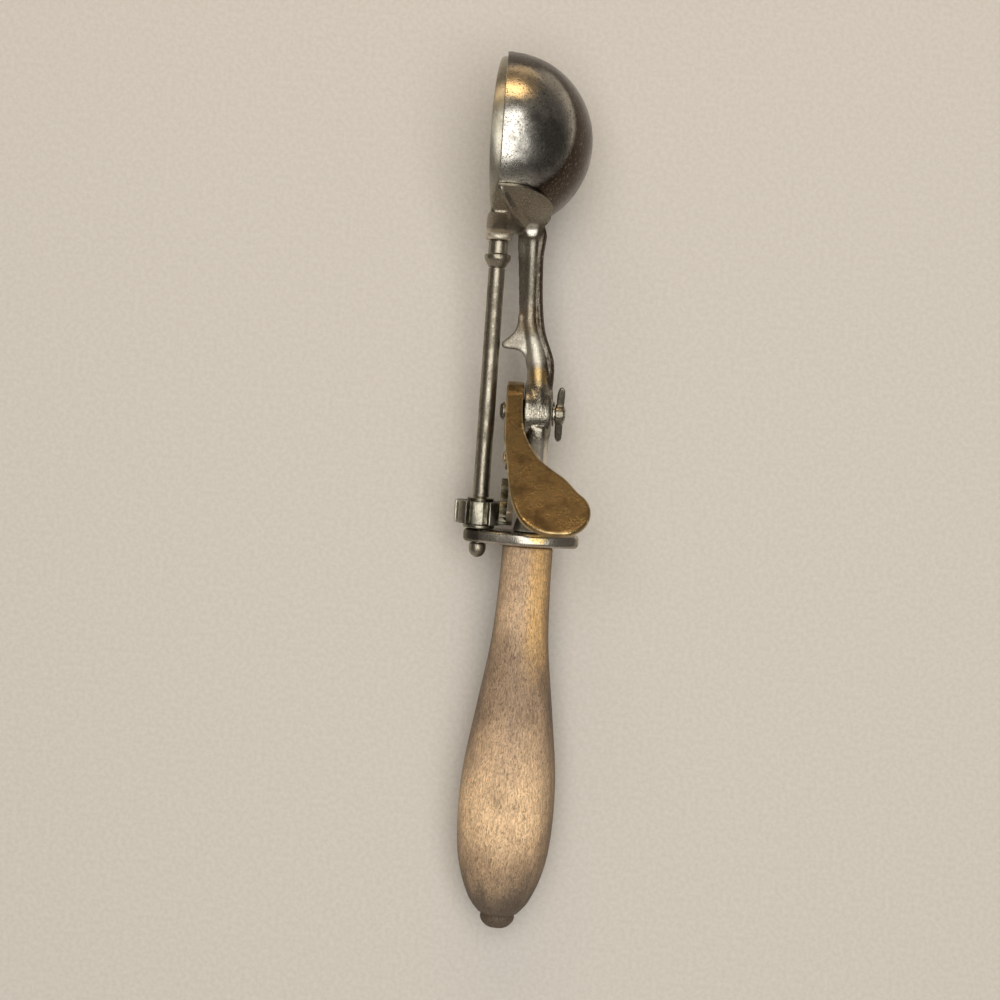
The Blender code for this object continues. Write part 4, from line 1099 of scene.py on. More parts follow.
# The drawn rod and its turned fittings: dull grey, with one soft line of light along them.
ROD_NICKEL = WornNickel(
    "drawn nickelled rod", plate="#958D7E", tarnish="#6A6254", speck="#2E2A24", cloud_size=6.0,
    tarnish_share=0.7, speck_share=0.5, gloss=0.32, dull=0.5, edge=0.3)
# The milled gears: dark in their slots and bright along every edge.
GEAR_NICKEL = WornNickel(
    "milled nickelled gear", plate="#6F6957", tarnish="#3F3B2E", speck="#26231B", cloud_size=4.0,
    tarnish_share=0.8, speck_share=0.6, gloss=0.26, dull=0.44, edge=1.0)
# The screw, washer and wing nut: small, dark and brighter on their edges.
SMALL_NICKEL = WornNickel(
    "small nickelled fittings", plate="#8D8678", tarnish="#4A4438", cloud_size=4.0, tarnish_share=0.7,
    speck_share=0.4, gloss=0.2, dull=0.38, edge=0.6)
# The lever and its rivets: brown, with gold along the edges.
LEVER_BRASS = AgedBrass("aged cast brass")
# The handle: matt, in bands from pale to dark.
HANDLE_WOOD = TurnedBeech("turned beech")
# Hidden iron and spring steel: dull, with rust or brown oil on them.
TANG_IRON = DarkIron("forged tang iron")
SPRING_STEEL = DarkIron("drawn spring steel", metal="#6A665F", rust="#4C3A2C")
# The floor: pale and matt.
PAPER = StudioPaper("studio paper")


@dataclass(frozen=True)
class Bowl:
    """The spun bowl with the rivet at its tip."""

    radius: float = 27.0
    wall: float = 1.0
    heel_y: float = 94.0
    rim_proud: float = 1.0
    tip_pin: float = 0.9
    tip_head: float = 1.3
    tip_head_height: float = 0.25
    heel_pin: float = 1.3
    rivet_height: float = 0.6
    rivet_lip: float = 0.7
    blade_inner: float = 24.65

    @property
    def centre(self) -> Matrix:
        """The bowl's middle."""
        return shift(y=self.heel_y + self.radius)

    def shell(self) -> Mesh:
        """The hemisphere with a softly rounded rim and its two bearing holes.

        Returns:
            The bowl.
        """
        profile: list[Point] = []
        arcs = 72
        inner = self.radius - self.wall
        for radius, order in ((self.radius, range(arcs + 1)), (inner, range(arcs, -1, -1))):
            edge = math.acos(-self.rim_proud / radius)
            row = [(radius * math.sin(edge * i / arcs), radius * math.cos(edge * i / arcs)) for i in order]
            profile += row
        profile[0] = (0.0, self.radius)
        profile[-1] = (0.0, inner)
        lip = self.wall * 0.3
        profile = [(*point, lip if i in (arcs, arcs + 1) else 0.0) for i, point in enumerate(profile)]
        bowl = lathe(rounded(profile, 0.0), 192, self.centre @ ALONG_X)
        tip = rod(self.tip_pin + GAP, self.radius - PAST, self.radius + PAST, self.centre @ ALONG_Y)
        heel = rod(self.heel_pin + GAP, -self.radius - PAST, -self.radius + PAST, self.centre @ ALONG_Y)
        return drilled(bowl, tip, heel)

    def rivet(self) -> Mesh:
        """The rivet at the tip, domed outside.

        Returns:
            The rivet.
        """
        outside = self.radius + GAP
        inside = self.blade_inner - GAP
        neck = self.tip_pin
        top = outside + self.tip_head_height
        lip = neck + self.rivet_lip
        end = inside - self.rivet_height
        head = [(0, top), (self.tip_head * 0.55, top, 0.0), (self.tip_head * 0.95, outside + 0.12, 0.12)]
        profile = [*head, (self.tip_head, outside, 0.1), (neck, outside, 0.0), (neck, inside, 0.0),
                   (lip, inside, 0.2), (lip, end, 0.3), (0, end)]
        return lathe(rounded(profile, 0.2), 40, self.centre @ ALONG_Y)

    def build(self, bench: Bench) -> None:
        """Stand the bowl and its rivet.

        Args:
            bench: what puts the pieces in the frame.
        """
        bench.stand("bowl_spun", self.shell(), SPUN_NICKEL, Body.FIXED, Slot.BOWL, "bowl", sharp=60.0)
        bench.stand("tip_rivet", self.rivet(), ROD_NICKEL, Body.FIXED, Slot.ROD, "tip_pin")


@dataclass(frozen=True)
class Scraper:
    """The blade in the bowl and the rod that turns it."""

    bowl: Bowl
    outer: float = 25.55
    half_width: float = 4.4
    end_half_width: float = 2.7
    edge: float = 0.2
    overrun: float = 2.6
    rod_radius: float = 2.6
    thread: float = 1.6
    collar_start: float = 81.7
    collar_taper: float = 2.7
    ring_width: float = 1.4
    collar_radius: float = 4.15
    neck_radius: float = 3.1
    neck_top: float = 90.0
    finial_radius: float = 2.7
    finial_length: float = 4.6
    washer_radius: float = 5.0
    washer: float = 1.05
    hub_top: float = 9.7

    def blade(self) -> Mesh:
        """The half ring, narrower towards its pivots, with its edges eased.

        Returns:
            The blade.
        """
        narrowing = math.sqrt(1 - (self.end_half_width / self.half_width) ** 2)
        half_length = self.outer / narrowing
        over = math.asin(self.overrun / self.outer)
        inner = self.bowl.blade_inner
        sections = []
        steps, strips = 96, 8
        for i in range(steps + 1):
            angle = -over + (math.pi + 2 * over) * i / steps
            along = self.outer * math.cos(angle)
            half = self.half_width * math.sqrt(1 - (along / half_length) ** 2)
            below = max(0.0, -self.outer * math.sin(angle)) / self.overrun
            half *= math.sqrt(1 - 0.75 * below ** 2)
            across = [half - 2 * half * k / strips for k in range(strips + 1)]
            section = []
            for radius, row, edge in ((self.outer, across, -self.edge), (inner, across[::-1], self.edge)):
                for k, x in enumerate(row):
                    reach = math.sqrt(radius ** 2 - x ** 2) + (edge if k in (0, strips) else 0.0)
                    section.append((x, reach * math.cos(angle), reach * math.sin(angle)))
            sections.append(section)
        blade = skin(sections, self.bowl.centre)
        near, far = inner - PAST, self.outer + PAST
        tip = rod(self.bowl.tip_pin + GAP, near, far, self.bowl.centre @ ALONG_Y)
        heel = rod(self.bowl.heel_pin + GAP, -far, -near, self.bowl.centre @ ALONG_Y)
        return drilled(blade, tip, heel)

    def shaft(self) -> Mesh:
        """The rod, stepped down for its bearings, with the riveted end inside the blade.

        Returns:
            The rod.
        """
        pin = self.bowl.heel_pin
        head = self.bowl.heel_y + self.bowl.radius - self.bowl.blade_inner + GAP
        top = head + self.bowl.rivet_height
        step = BARREL_TOP - GAP
        seat = self.hub_top + GAP
        end = -GUARD - self.finial_length / 2
        lip = pin + self.bowl.rivet_lip
        profile = [
            (0, top), (lip, top, 0.35), (lip, head, 0.1), (pin, head, 0.0), (pin, step, 0.0),
            (JOURNAL, step, 0.2), (JOURNAL, self.collar_start, 0.0),
            (self.rod_radius, self.collar_start), (self.rod_radius, seat), (JOURNAL, seat, 0.0),
            (JOURNAL, -GUARD, 0.0), (self.thread, -GUARD, 0.0), (self.thread, end, 0.2),
            (0, end)]
        return lathe(rounded(profile, 0.3), 56, ALONG_Y)

    def collar(self) -> Mesh:
        """The turned collar: a taper, a ring and a neck.

        Returns:
            The collar.
        """
        bore = JOURNAL + GAP
        low = self.collar_start + GAP
        ring = self.collar_start + self.collar_taper
        top = ring + self.ring_width
        neck = self.neck_radius
        profile = [(bore, self.neck_top), (neck, self.neck_top, 0.3), (neck, top + 0.25, 0.3),
                   (self.collar_radius, top, 0.35), (self.collar_radius, ring, 0.35),
                   (self.rod_radius + 0.15, low + 0.3, 0.8), (self.rod_radius, low, 0.1), (bore, low)]
        return lathe(rounded(profile, 0.0, 5, closed=True), 56, ALONG_Y, closed=True)

    def disc(self) -> Mesh:
        """The washer under the pinion."""
        return flat_ring(JOURNAL + GAP, self.washer_radius, GAP, GAP + self.washer, 0.25, ALONG_Y)

    def nut(self) -> Mesh:
        """The bullet-shaped nut under the guard plate.

        Returns:
            The nut.
        """
        top = -GUARD - GAP
        end = top - self.finial_length
        shoulder = top - self.finial_length / 3
        wide = self.finial_radius
        nose = [(wide * math.cos(a), shoulder - (shoulder - end) * math.sin(a), 0.0)
                for a in (math.radians(6 * i) for i in range(1, 15))]
        bore = self.thread + GAP
        bore_end = -GUARD - self.finial_length / 2 - GAP
        profile = [(0, bore_end), (bore, bore_end, 0.0), (bore, top, 0.2), (wide - 0.3, top, 0.3),
                   (wide, top - 0.6, 0.3), (wide, shoulder, 0.0), *nose, (0, end)]
        return lathe(rounded(profile, 0.0), 48, ALONG_Y)

    def build(self, bench: Bench) -> None:
        """Stand the blade, the rod and what the rod carries.

        Args:
            bench: what puts the pieces in the frame.
        """
        bench.stand("scraper_band", self.blade(), BLADE_NICKEL, Body.SCRAPER, Slot.BLADE, "scraper_blade",
                    sharp=50.0)
        bench.stand("long_rod", self.shaft(), ROD_NICKEL, Body.SCRAPER, Slot.ROD, "drive_rod")
        bench.stand("collar_turned", self.collar(), ROD_NICKEL, Body.SCRAPER, Slot.ROD, "rod_collar")
        bench.stand("washer_turned", self.disc(), GEAR_NICKEL, Body.SCRAPER, Slot.GEAR, "thrust_washer")
        bench.stand("finial_turned", self.nut(), ROD_NICKEL, Body.SCRAPER, Slot.ROD, "finial")


@dataclass(frozen=True)
class Gears:
    """The pinion on the rod and the sector on the lever."""

    teeth: int = 9
    full_teeth: int = 42
    cut_teeth: int = 8
    first_tooth: int = -1
    mesh_radius: float = 32.3
    face: float = 7.1
    addendum: float = 1.1
    sector_addendum: float = 0.8
    slot_clearance: float = 0.56
    sector_clearance: float = 0.35
    slot: float = 2.0
    phase: float = math.radians(6.3)
    hub_radius: float = 4.2
    hub_height: float = 0.95
    middle_y: float = 5.2
    tooth_sections: tuple[Point, ...] = ((31.6, 0.50, 0.56), (33.3, 0.95, 1.04), (35.7, 0.84, 1.50))
    sector_back: float = 10.3
    sector_web: float = 1.4
    end_land: float = 0.38
    fan_start: float = 6.0
    fan_end: float = 36.0
    pressed_angle: float = 4.0
    rivet_radius: float = 1.2
    rivet_head: float = 2.1
    rivet_reaches: tuple[float, float] = (14.0, 22.0)
    rivet_rise: float = 3.0
    rib_near: float = 6.9
    rivet_height: float = 0.6

    @property
    def rest_angle(self) -> float:
        """How far the lever rises from level at rest, since it turns the scraper half round."""
        return math.radians(180 * self.teeth / self.full_teeth + self.pressed_angle)

    @property
    def pitch_radius(self) -> float:
        """The pinion's radius where it meets the sector."""
        return self.mesh_radius * self.teeth / self.full_teeth

    @property
    def tip(self) -> float:
        """The pinion's radius at its teeth's tips."""
        return self.pitch_radius + self.addendum

    @property
    def root(self) -> float:
        """The pinion's radius at its slots' floors."""
        return self.pitch_radius - self.sector_addendum - self.slot_clearance

    def pinion(self) -> Mesh:
        """Nine wide teeth with narrow milled slots, and the hub on top.

        Returns:
            The pinion.
        """
        pitch = 2 * math.pi / self.teeth
        slot_root = math.asin(self.slot / 2 / self.root)
        slot_tip = math.asin(self.slot / 2 / self.tip)
        land = pitch - 2 * slot_tip
        outline: list[Point] = []
        for tooth in range(self.teeth):
            middle = pitch * tooth - self.phase
            row = [(self.root, middle - slot_root), (self.root, middle + slot_root)]
            row += [(self.tip, middle + slot_tip + land * i / 8) for i in range(9)]
            outline += [(r * math.cos(a), r * math.sin(a)) for r, a in row]
        wheel = slab(outline, self.face, shift(y=self.middle_y) @ FACING_Y)
        top = self.middle_y + self.face / 2
        hub_top = top + self.hub_height
        wide, narrow, floor = self.root - 0.5, self.hub_radius + 0.2, top - 0.35
        groove = [(wide, top + 1, 0.0), (wide, floor), (narrow, floor), (narrow, top + 1, 0.0)]
        cutter = lathe(rounded(groove, 0.15, 3, closed=True), 64, ALONG_Y, closed=True)
        wheel = drilled(eased(wheel, 0.18), cutter)
        hub = [(0, self.middle_y), (self.hub_radius, self.middle_y, 0.0), (self.hub_radius, hub_top),
               (0, hub_top)]
        wheel = merged(wheel, lathe(rounded(hub, 0.3), 64, ALONG_Y))
        return drilled(wheel, rod(JOURNAL + GAP, -self.face, 2 * top, ALONG_Y, 48))

    def lever_point(self, radius: float, angle: float) -> Point:
        """A point in the lever's side plane, with the angle from the mesh towards the thumb plate."""
        return (-radius * math.cos(angle - self.rest_angle), radius * math.sin(angle - self.rest_angle))

    def sector(self) -> Mesh:
        """The toothed ring on its thin fan.

        Returns:
            The sector.
        """
        step = 2 * math.pi / self.full_teeth
        root_x = self.tip + self.sector_clearance
        tip_x = self.pitch_radius - self.sector_addendum
        inner = self.mesh_radius - self.face / 2
        outer = self.mesh_radius + self.face / 2
        first = self.first_tooth * step - self.phase * self.teeth / self.full_teeth
        angles = [first + step * i for i in range(self.cut_teeth)]
        low = angles[0] - self.end_land * step
        high = angles[-1] + self.end_land * step
        sweep = [low + (high - low) * i / 48 for i in range(49)]
        ring = [self.lever_point(outer, a) for a in sweep]
        ring += [self.lever_point(inner, a) for a in reversed(sweep)]
        depth = self.sector_back - root_x
        band = eased(slab(ring, depth, shift(x=self.sector_back - depth / 2) @ FACING_X), 0.2)
        fan_low = low + math.radians(self.fan_start)
        near_high = self.rest_angle + math.radians(self.fan_end)
        near = DRUM + GAP
        fan = [self.lever_point(inner + 0.6, fan_low + (high - fan_low) * i / 24) for i in range(25)]
        fan += [self.lever_point(near, near_high + (fan_low - near_high) * i / 24) for i in range(25)]
        web_seat = shift(x=self.sector_back - self.sector_web / 2) @ FACING_X
        web = eased(slab(fan, self.sector_web, web_seat), 0.2)
        teeth = [skin([self.tooth(*section, angle, tip_x, root_x + 0.2) for section in self.tooth_sections])
                 for angle in angles]
        sector = merged(band, web, together(*[eased(tooth, 0.1) for tooth in teeth]))
        bore = self.rivet_radius + GAP
        past = self.sector_back + PAST
        return drilled(sector, *[rod(bore, 0, past, self.rivet_spot(reach)) for reach in self.rivet_reaches])

    def tooth(self, radius: float, tip_width: float, root_width: float, angle: float, tip_x: float,
              root_x: float) -> list[Point]:
        """A tooth's section at a radius.

        Args:
            radius: the section's radius from the pivot.
            tip_width: the tooth's width at its tip.
            root_width: its width at its root.
            angle: the tooth's angle from the mesh.
            tip_x: where the tip is.
            root_x: where the root is.

        Returns:
            The section's four corners.
        """
        tip = tip_width / 2 / radius
        root = root_width / 2 / radius
        corners = [(tip_x, -tip), (tip_x, tip), (root_x, root), (root_x, -root)]
        return [(x, *self.lever_point(radius, angle + turn)) for x, turn in corners]

    def rivet_spot(self, reach: float) -> Matrix:
        """Where a rivet stands in the lever's frame."""
        return shift(y=-reach, z=self.rivet_rise) @ ALONG_X

    def rivet(self, reach: float) -> Mesh:
        """A rivet with two domed heads.

        Args:
            reach: how far from the pivot it stands.

        Returns:
            The rivet.
        """
        near = self.rib_near - GAP
        far = self.sector_back + GAP
        head = self.rivet_height
        wide = self.rivet_head
        neck = self.rivet_radius
        profile = [(0, far + head), (wide * 0.55, far + head, 0.3), (wide, far + head * 0.3, 0.2),
                   (wide, far, 0.0), (neck, far, 0.0), (neck, near, 0.0), (wide, near, 0.0),
                   (wide, near - head * 0.3, 0.2), (wide * 0.55, near - head, 0.3), (0, near - head)]
        return lathe(rounded(profile, 0.0), 36, self.rivet_spot(reach))

    def build(self, bench: Bench) -> None:
        """Stand the gears and the rivets.

        Args:
            bench: what puts the pieces in the frame.
        """
        bench.stand("pinion_milled", self.pinion(), GEAR_NICKEL, Body.SCRAPER, Slot.GEAR, "pinion",
                    sharp=30.0)
        bench.stand("sector_milled", self.sector(), GEAR_NICKEL, Body.LEVER, Slot.GEAR, "sector_gear",
                    sharp=30.0)
        for number, reach in enumerate(self.rivet_reaches, 1):
            bench.stand(f"rib_rivet_{number}", self.rivet(reach), LEVER_BRASS, Body.LEVER, Slot.BRASS,
                        f"sector_rivet_{number}")


@dataclass(frozen=True)
class Lever:
    """The cast brass thumb lever with the spring in its drum."""

    gears: Gears
    near_x: float = 5.8
    far_x: float = 11.2
    base: float = 1.5
    recess_radius: float = 6.9
    plate: float = 2.2
    plate_sink: float = 0.1
    thumb_centre: Point = (24.0, -46.0)
    thumb_radius: float = 8.9
    rib: float = 1.7
    rib_inset: float = 1.5
    rib_short: float = 2.2
    rib_overlap: float = 0.6
    pin: float = 0.6
    spring_inner: float = 4.25
    spring_pitch: float = 1.3
    spring_turns: float = 1.4

    def thumb(self) -> Mesh:
        """The arm and the round thumb plate.

        Returns:
            The arm with its plate.
        """
        near, far = self.near_x, self.far_x
        outline = [
            (near, 0.0, 1), (far, 0.0, 1), (far, -8.0), (far + 0.6, -13.8), (13.1, -18.8), (14.8, -22.6),
            (17.4, -26.9), (21.2, -30.5), (25.0, -33.6),
            *bow(self.thumb_centre, self.thumb_radius, 55, -80, 8),
            (20.2, -54.9), (15.8, -53.3), (12.8, -50.8), (10.4, -46.3), (8.7, -39.8), (7.8, -33.1),
            (7.2, -27.0), (near + 0.5, -21.0), (near + 0.1, -13.0)]
        rise = DRUM - self.plate_sink - self.plate / 2
        return eased(slab(flowing(outline, 5, closed=True), self.plate, shift(z=rise)), 0.7, 3)

    def casting(self) -> Mesh:
        """The drum, the thumb plate and the rib run together, then bored.

        Returns:
            The casting.
        """
        drum = rounded([(0, self.far_x), (DRUM, self.far_x), (DRUM, self.near_x), (0, self.near_x)], 0.5)
        under = DRUM - self.plate_sink - self.plate
        gears = self.gears
        far = gears.mesh_radius - gears.face / 2 - self.rib_short
        edge = gears.rivet_rise - gears.rivet_head
        near, high = self.rib_inset - DRUM, under + self.rib_overlap
        outline = [(near, -4.0), (near, high), (-far, high), (-far, under - self.rib_inset),
                   (self.rib_inset - far, edge), (-far / 2, edge - 2.0)]
        rib = slab(outline, self.rib, shift(x=gears.rib_near + self.rib / 2) @ FACING_X)
        lever = cast([lathe(drum, 96, ALONG_X), self.thumb(), rib], grain=0.32, passes=4)
        floor = self.near_x + self.base
        tools = [rod(self.recess_radius, floor, self.far_x + PAST, ALONG_X, 64),
                 rod(SCREW + GAP, 0, self.far_x + PAST, ALONG_X, 40),
                 rod(self.pin + GAP, 0, self.far_x - GAP, self.pin_spot(), 20)]
        tools += [rod(gears.rivet_radius + GAP, 0, self.far_x, gears.rivet_spot(reach))
                  for reach in gears.rivet_reaches]
        return drilled(lever, *tools)

    def spiral(self, turns: float) -> Vector:
        """A point on the spring's centre line."""
        radius = self.spring_inner + self.spring_pitch * turns
        return Vector((radius * math.cos(2 * math.pi * turns), radius * math.sin(2 * math.pi * turns), 0.0))

    def pin_spot(self) -> Matrix:
        """Where the spring's pin stands, just past the spring's outer end.

        Returns:
            The pin's place in the lever's frame.
        """
        end = self.spiral(self.spring_turns)
        spot = end + (end - self.spiral(self.spring_turns - 0.01)).normalized() * (self.pin + GAP)
        return FACING_X @ shift(spot.x, spot.y)

    def build(self, bench: Bench) -> None:
        """Stand the lever, and finish the spring and its pin.

        Args:
            bench: what puts the pieces in the frame.
        """
        bench.stand("lever_cast", self.casting(), LEVER_BRASS, Body.LEVER, Slot.BRASS, "thumb_lever")
        bench.dress("return_spring", SPRING_STEEL)
        bench.dress("spring_pin", SPRING_STEEL)


@dataclass(frozen=True)
class Shank:
    """The nickel-plated casting from the bowl's saddle to the foot, and the guard plate below it."""

    bowl: Bowl
    strip: float = 1.3
    strip_depth: float = 2.9
    rib_end: Point = (10.05, 93.4)
    rib_end_radius: float = 2.2
    rib_end_height: float = 5.9
    horn_depth: float = 4.6
    saddle_wall: float = 1.5
    saddle_proud: float = 3.0
    front_tilt: float = math.radians(-13.7)
    boss_near: float = 11.5
    boss_radius: float = 9.4
    boss_taper: float = 1.6
    spigot: float = 3.5
    drum_floor: float = 7.6
    barrel: float = 4.1
    barrel_end: float = 90.3
    barrel_overlap: float = 4.0
    tang_top: float = 7.0
    guard_nose: float = 4.7
    guard_half: float = 9.2
    guard_far: float = 31.7

    # Along the stem: the back edge's (x, y), and (y, ...) rows for the wing's left, right and half
    # depth and for the rib's and the web's middle, half width and half depth.
    back: tuple[Point, ...] = (
        (17.0, 98.0), (15.6, 95.5), (15.1, 93.4), (14.7, 90.0), (14.35, 85.2), (14.8, 76.0), (15.4, 69.7),
        (16.3, 64.1), (17.4, 60.5), (18.7, 57.4), (19.8, 54.4), (20.2, 51.3), (20.2, 47.6), (20.0, 43.5),
        (20.0, 36.0), (20.0, 28.0), (20.0, 20.0), (19.8, 10.0), (20.0, 2.5))
    wing: tuple[Point, ...] = (
        (97.5, 6.6, 13.0, 2.6), (92.0, 5.8, 14.0, 2.8), (88.0, 6.0, 14.0, 2.8), (84.6, 6.4, 14.0, 2.8),
        (80.0, 6.8, 14.2, 2.8), (75.3, 7.2, 14.5, 2.8), (69.2, 7.7, 15.0, 2.8), (66.0, 7.6, 15.6, 2.8),
        (63.0, 7.4, 16.2, 2.8), (60.0, 8.6, 17.2, 2.8), (57.5, 10.2, 18.3, 2.9), (54.5, 11.0, 19.2, 3.2),
        (51.3, 11.6, 19.8, 3.6), (47.0, 11.7, 19.9, 4.2), (42.0, 11.9, 19.8, 5.0), (38.0, 12.0, 19.6, 5.0))
    rib: tuple[Point, ...] = (
        (97.0, 9.9, 2.0, 4.4), (93.0, 10.2, 2.15, 4.4), (90.7, 10.5, 2.15, 4.0), (87.8, 10.65, 2.1, 3.7),
        (81.6, 10.9, 2.05, 3.6), (75.4, 11.1, 2.0, 3.6), (69.2, 11.3, 2.1, 3.6), (65.5, 11.5, 2.25, 3.6),
        (61.6, 12.6, 2.5, 3.7), (57.0, 14.0, 3.0, 4.1), (52.4, 14.9, 3.3, 4.8), (48.0, 15.4, 3.4, 5.6),
        (45.5, 15.6, 3.5, 6.3), (43.0, 15.7, 3.6, 7.4), (40.0, 15.8, 3.7, 8.4))
    web: tuple[Point, ...] = (
        (0.3, 15.7, 5.0, 6.6), (2.0, 15.8, 4.6, 5.8), (6.0, 16.0, 3.8, 4.4), (14.0, 16.0, 3.6, 4.5),
        (20.0, 16.0, 3.65, 5.1), (24.0, 16.0, 3.7, 5.8), (27.0, 16.0, 3.8, 6.8), (30.0, 16.0, 3.8, 7.8),
        (33.0, 16.0, 3.8, 8.4))
    horn: tuple[Point, ...] = (
        (13.0, 52.0), (11.6, 51.3), (11.1, 53.1), (10.4, 55.0), (9.0, 56.4), (7.1, 56.9), (5.2, 56.9),
        (3.6, 57.3), (3.2, 58.7), (4.4, 59.8), (5.9, 61.2), (7.0, 62.8), (7.8, 65.4), (8.0, 67.9),
        (13.0, 66.0))
    # From the saddle's heel: (rise, x, half width, half depth) of the neck that joins it to the stem.
    neck: tuple[Point, ...] = (
        (-11.0, 10.6, 2.9, 2.4), (-6.0, 10.6, 3.2, 2.6), (-3.0, 10.6, 3.5, 3.4), (-0.6, 10.4, 3.7, 5.2),
        (2.5, 9.3, 5.0, 9.2), (6.0, 8.0, 7.3, 14.4), (9.5, 7.5, 9.0, 18.8))
    # The saddle's edge on its own ball, from the open side over the ear to the middle of the back.
    rim: tuple[Point, ...] = (
        (-15.0, -16.5, 18.2), (-1.4, -16.6, 23.5), (2.3, -16.5, 23.5), (4.7, -16.5, 23.1), (6.5, -16.7, 22.6),
        (8.4, -16.9, 21.8), (10.5, -17.4, 20.4), (12.4, -18.0, 18.7), (14.1, -18.8, 16.8),
        (15.3, -19.8, 14.2), (16.1, -20.8, 12.0), (15.6, -22.4, 9.0), (14.6, -24.0, 6.0),
        (13.6, -25.2, 3.0), (13.2, -25.6, 0.0))
    # The crease's two ends on the saddle, as directions from the bowl's middle.
    crease_start: Point = (-0.2, -17.2, 23.1)
    crease_end: Point = (8.6, -26.6, 6.6)
    crease_half: float = 0.9
    crease_proud: float = 0.4
    # The flat face beside the barrel: (y, half depth).
    barrel_face: tuple[Point, ...] = (
        (91.0, 4.1), (92.3, 4.4), (93.0, 8.1), (94.0, 11.4), (95.0, 13.7), (96.0, 15.6), (97.1, 17.5),
        (97.4, 9.0))

    def above(self) -> Mesh:
        """What the saddle doesn't reach, cut square to its wall along the edge.

        Returns:
            The cutter.
        """
        half = [Vector(point).normalized() for point in self.rim]
        ring = half + [Vector((d.x, d.y, -d.z)) for d in half[-2::-1]]
        far = 1.6 * self.bowl.radius
        wide = [Vector((d.x, 0.0, d.z)).normalized() * far * 1.1 for d in ring]
        return skin([[tuple(d * 3.0) for d in ring], [tuple(d * far) for d in ring], [tuple(w) for w in wide],
                     [(w.x, far, w.z) for w in wide]], self.bowl.centre)

    def saddle(self) -> list[Mesh]:
        """The ball round the bowl's heel with its open side cut, and what runs into it.

        Returns:
            The ball, its neck, the barrel's face and the two creases.
        """
        outer = self.bowl.radius + GAP + self.saddle_wall
        heel = self.bowl.heel_y
        size = 2.4 * outer
        lean = shift(y=heel + 3.0) @ Matrix.Rotation(self.front_tilt, 4, "Z")
        before = block(size, lean @ shift(x=-self.saddle_proud - size / 2))
        neck = skin([oval(x, heel + rise, half, high) for rise, x, half, high in self.neck])
        ball = drilled(sphere(outer, self.bowl.centre @ ALONG_Y), before)
        face = skin([oval(-0.05, y, self.barrel, high, 40, 4.0) for y, high in self.barrel_face])
        return [ball, neck, face, self.crease(1), self.crease(-1)]

    def crease(self, side: int) -> Mesh:
        """The thin ridge from the saddle's front corner to the rib's round end.

        Args:
            side: 1 for the side where the lever stands, -1 for the other.

        Returns:
            The ridge.
        """
        outer = self.bowl.radius + GAP + self.saddle_wall
        start = Vector(self.crease_start).normalized()
        end = Vector(self.crease_end).normalized()
        steps = 20
        rings = []
        for i in range(steps + 1):
            middle = start.lerp(end, i / steps).normalized() * (outer + self.crease_proud)
            half = self.crease_half * math.sqrt(max(0.05, 1 - (2 * i / steps - 1) ** 4))
            ring = [(middle.x + half * math.cos(a), middle.y + half * math.sin(a), middle.z)
                    for a in (2 * math.pi * k / 12 for k in range(12))]
            rings.append([(x, y + self.bowl.heel_y + self.bowl.radius, z * side) for x, y, z in ring])
        return skin(rings)

    def stem(self) -> list[Mesh]:
        """The ribbed stem with its pointed horn, the rib's round end and the web down to the foot.

        Returns:
            The stem's shapes, which overlap.
        """
        wing = skin([oval((left + right) / 2, y, (right - left) / 2, high, 40, 1.3)
                     for y, left, right, high in self.wing])
        rib = skin([oval(middle, y, half, high, 40, 2.4) for y, middle, half, high in self.rib])
        edge = flowing(self.back, 4)
        strip = skin([oval(x - self.strip, y, self.strip, self.strip_depth) for x, y in edge])
        horn = eased(slab(flowing(self.horn, 5, closed=True), self.horn_depth, STILL), 1.5, 5, 50.0)
        web = skin([oval(middle, y, half, high, 48, 3.2) for y, middle, half, high in self.web])
        wide, rise = self.rib_end_radius, self.rib_end_height
        disc = [(0, -rise), (wide, -rise), (wide, rise), (0, rise)]
        rib_end = lathe(rounded(disc, 0.3), 48, shift(*self.rib_end))
        return [wing, rib, strip, horn, rib_end, web]

    def boss(self) -> Mesh:
        """The round pivot boss, with the spigot that reaches into the lever's drum.

        Returns:
            The boss.
        """
        wide, near, floor = self.boss_radius, self.boss_near, self.drum_floor
        profile = [(0, BOSS_FAR), (wide - self.boss_taper, BOSS_FAR, 1.0), (wide, near + 1.0, 0.8),
                   (wide, near, 0.3), (self.spigot, near, 0.0), (self.spigot, floor, 0.2), (0, floor)]
        return lathe(rounded(profile, 0.0), 96, shift(y=PIVOT_Y) @ ALONG_X)

    def upper_bearing(self) -> Mesh:
        """The barrel under the saddle, which holds the rod's upper end.

        Returns:
            The barrel, which runs on into the saddle.
        """
        top, low = BARREL_TOP + self.barrel_overlap, self.barrel_end
        profile = [(0, top), (self.barrel, top), (self.barrel, low, 0.4), (0, low)]
        return lathe(rounded(profile, 0.0), 64, ALONG_Y)

    def bores(self) -> list[Mesh]:
        """What is cut out of the casting for the bowl, the rod, the pivot screw and the tang.

        Returns:
            The cutters.
        """
        top, low = BARREL_TOP, self.barrel_end - PAST
        narrow, wide = self.bowl.heel_pin + GAP, JOURNAL + GAP
        stepped = [(0, top + PAST), (narrow, top + PAST), (narrow, top), (wide, top), (wide, low), (0, low)]
        return [sphere(self.bowl.radius + GAP, self.bowl.centre @ ALONG_X, 128),
                lathe(stepped, 48, ALONG_Y),
                rod(SCREW + GAP, 0, 2 * BOSS_FAR, shift(y=PIVOT_Y) @ ALONG_X, 48),
                rod(TANG + GAP, -PAST, self.tang_top + GAP, shift(x=HANDLE_X) @ ALONG_Y, 40)]

    def casting(self) -> Mesh:
        """The shank's shapes run together, then cut to the saddle's edge and bored."""
        shapes = [*self.stem(), self.boss(), self.upper_bearing(), *self.saddle()]
        return drilled(cast(shapes, grain=0.4, passes=8), self.above(), *self.bores())

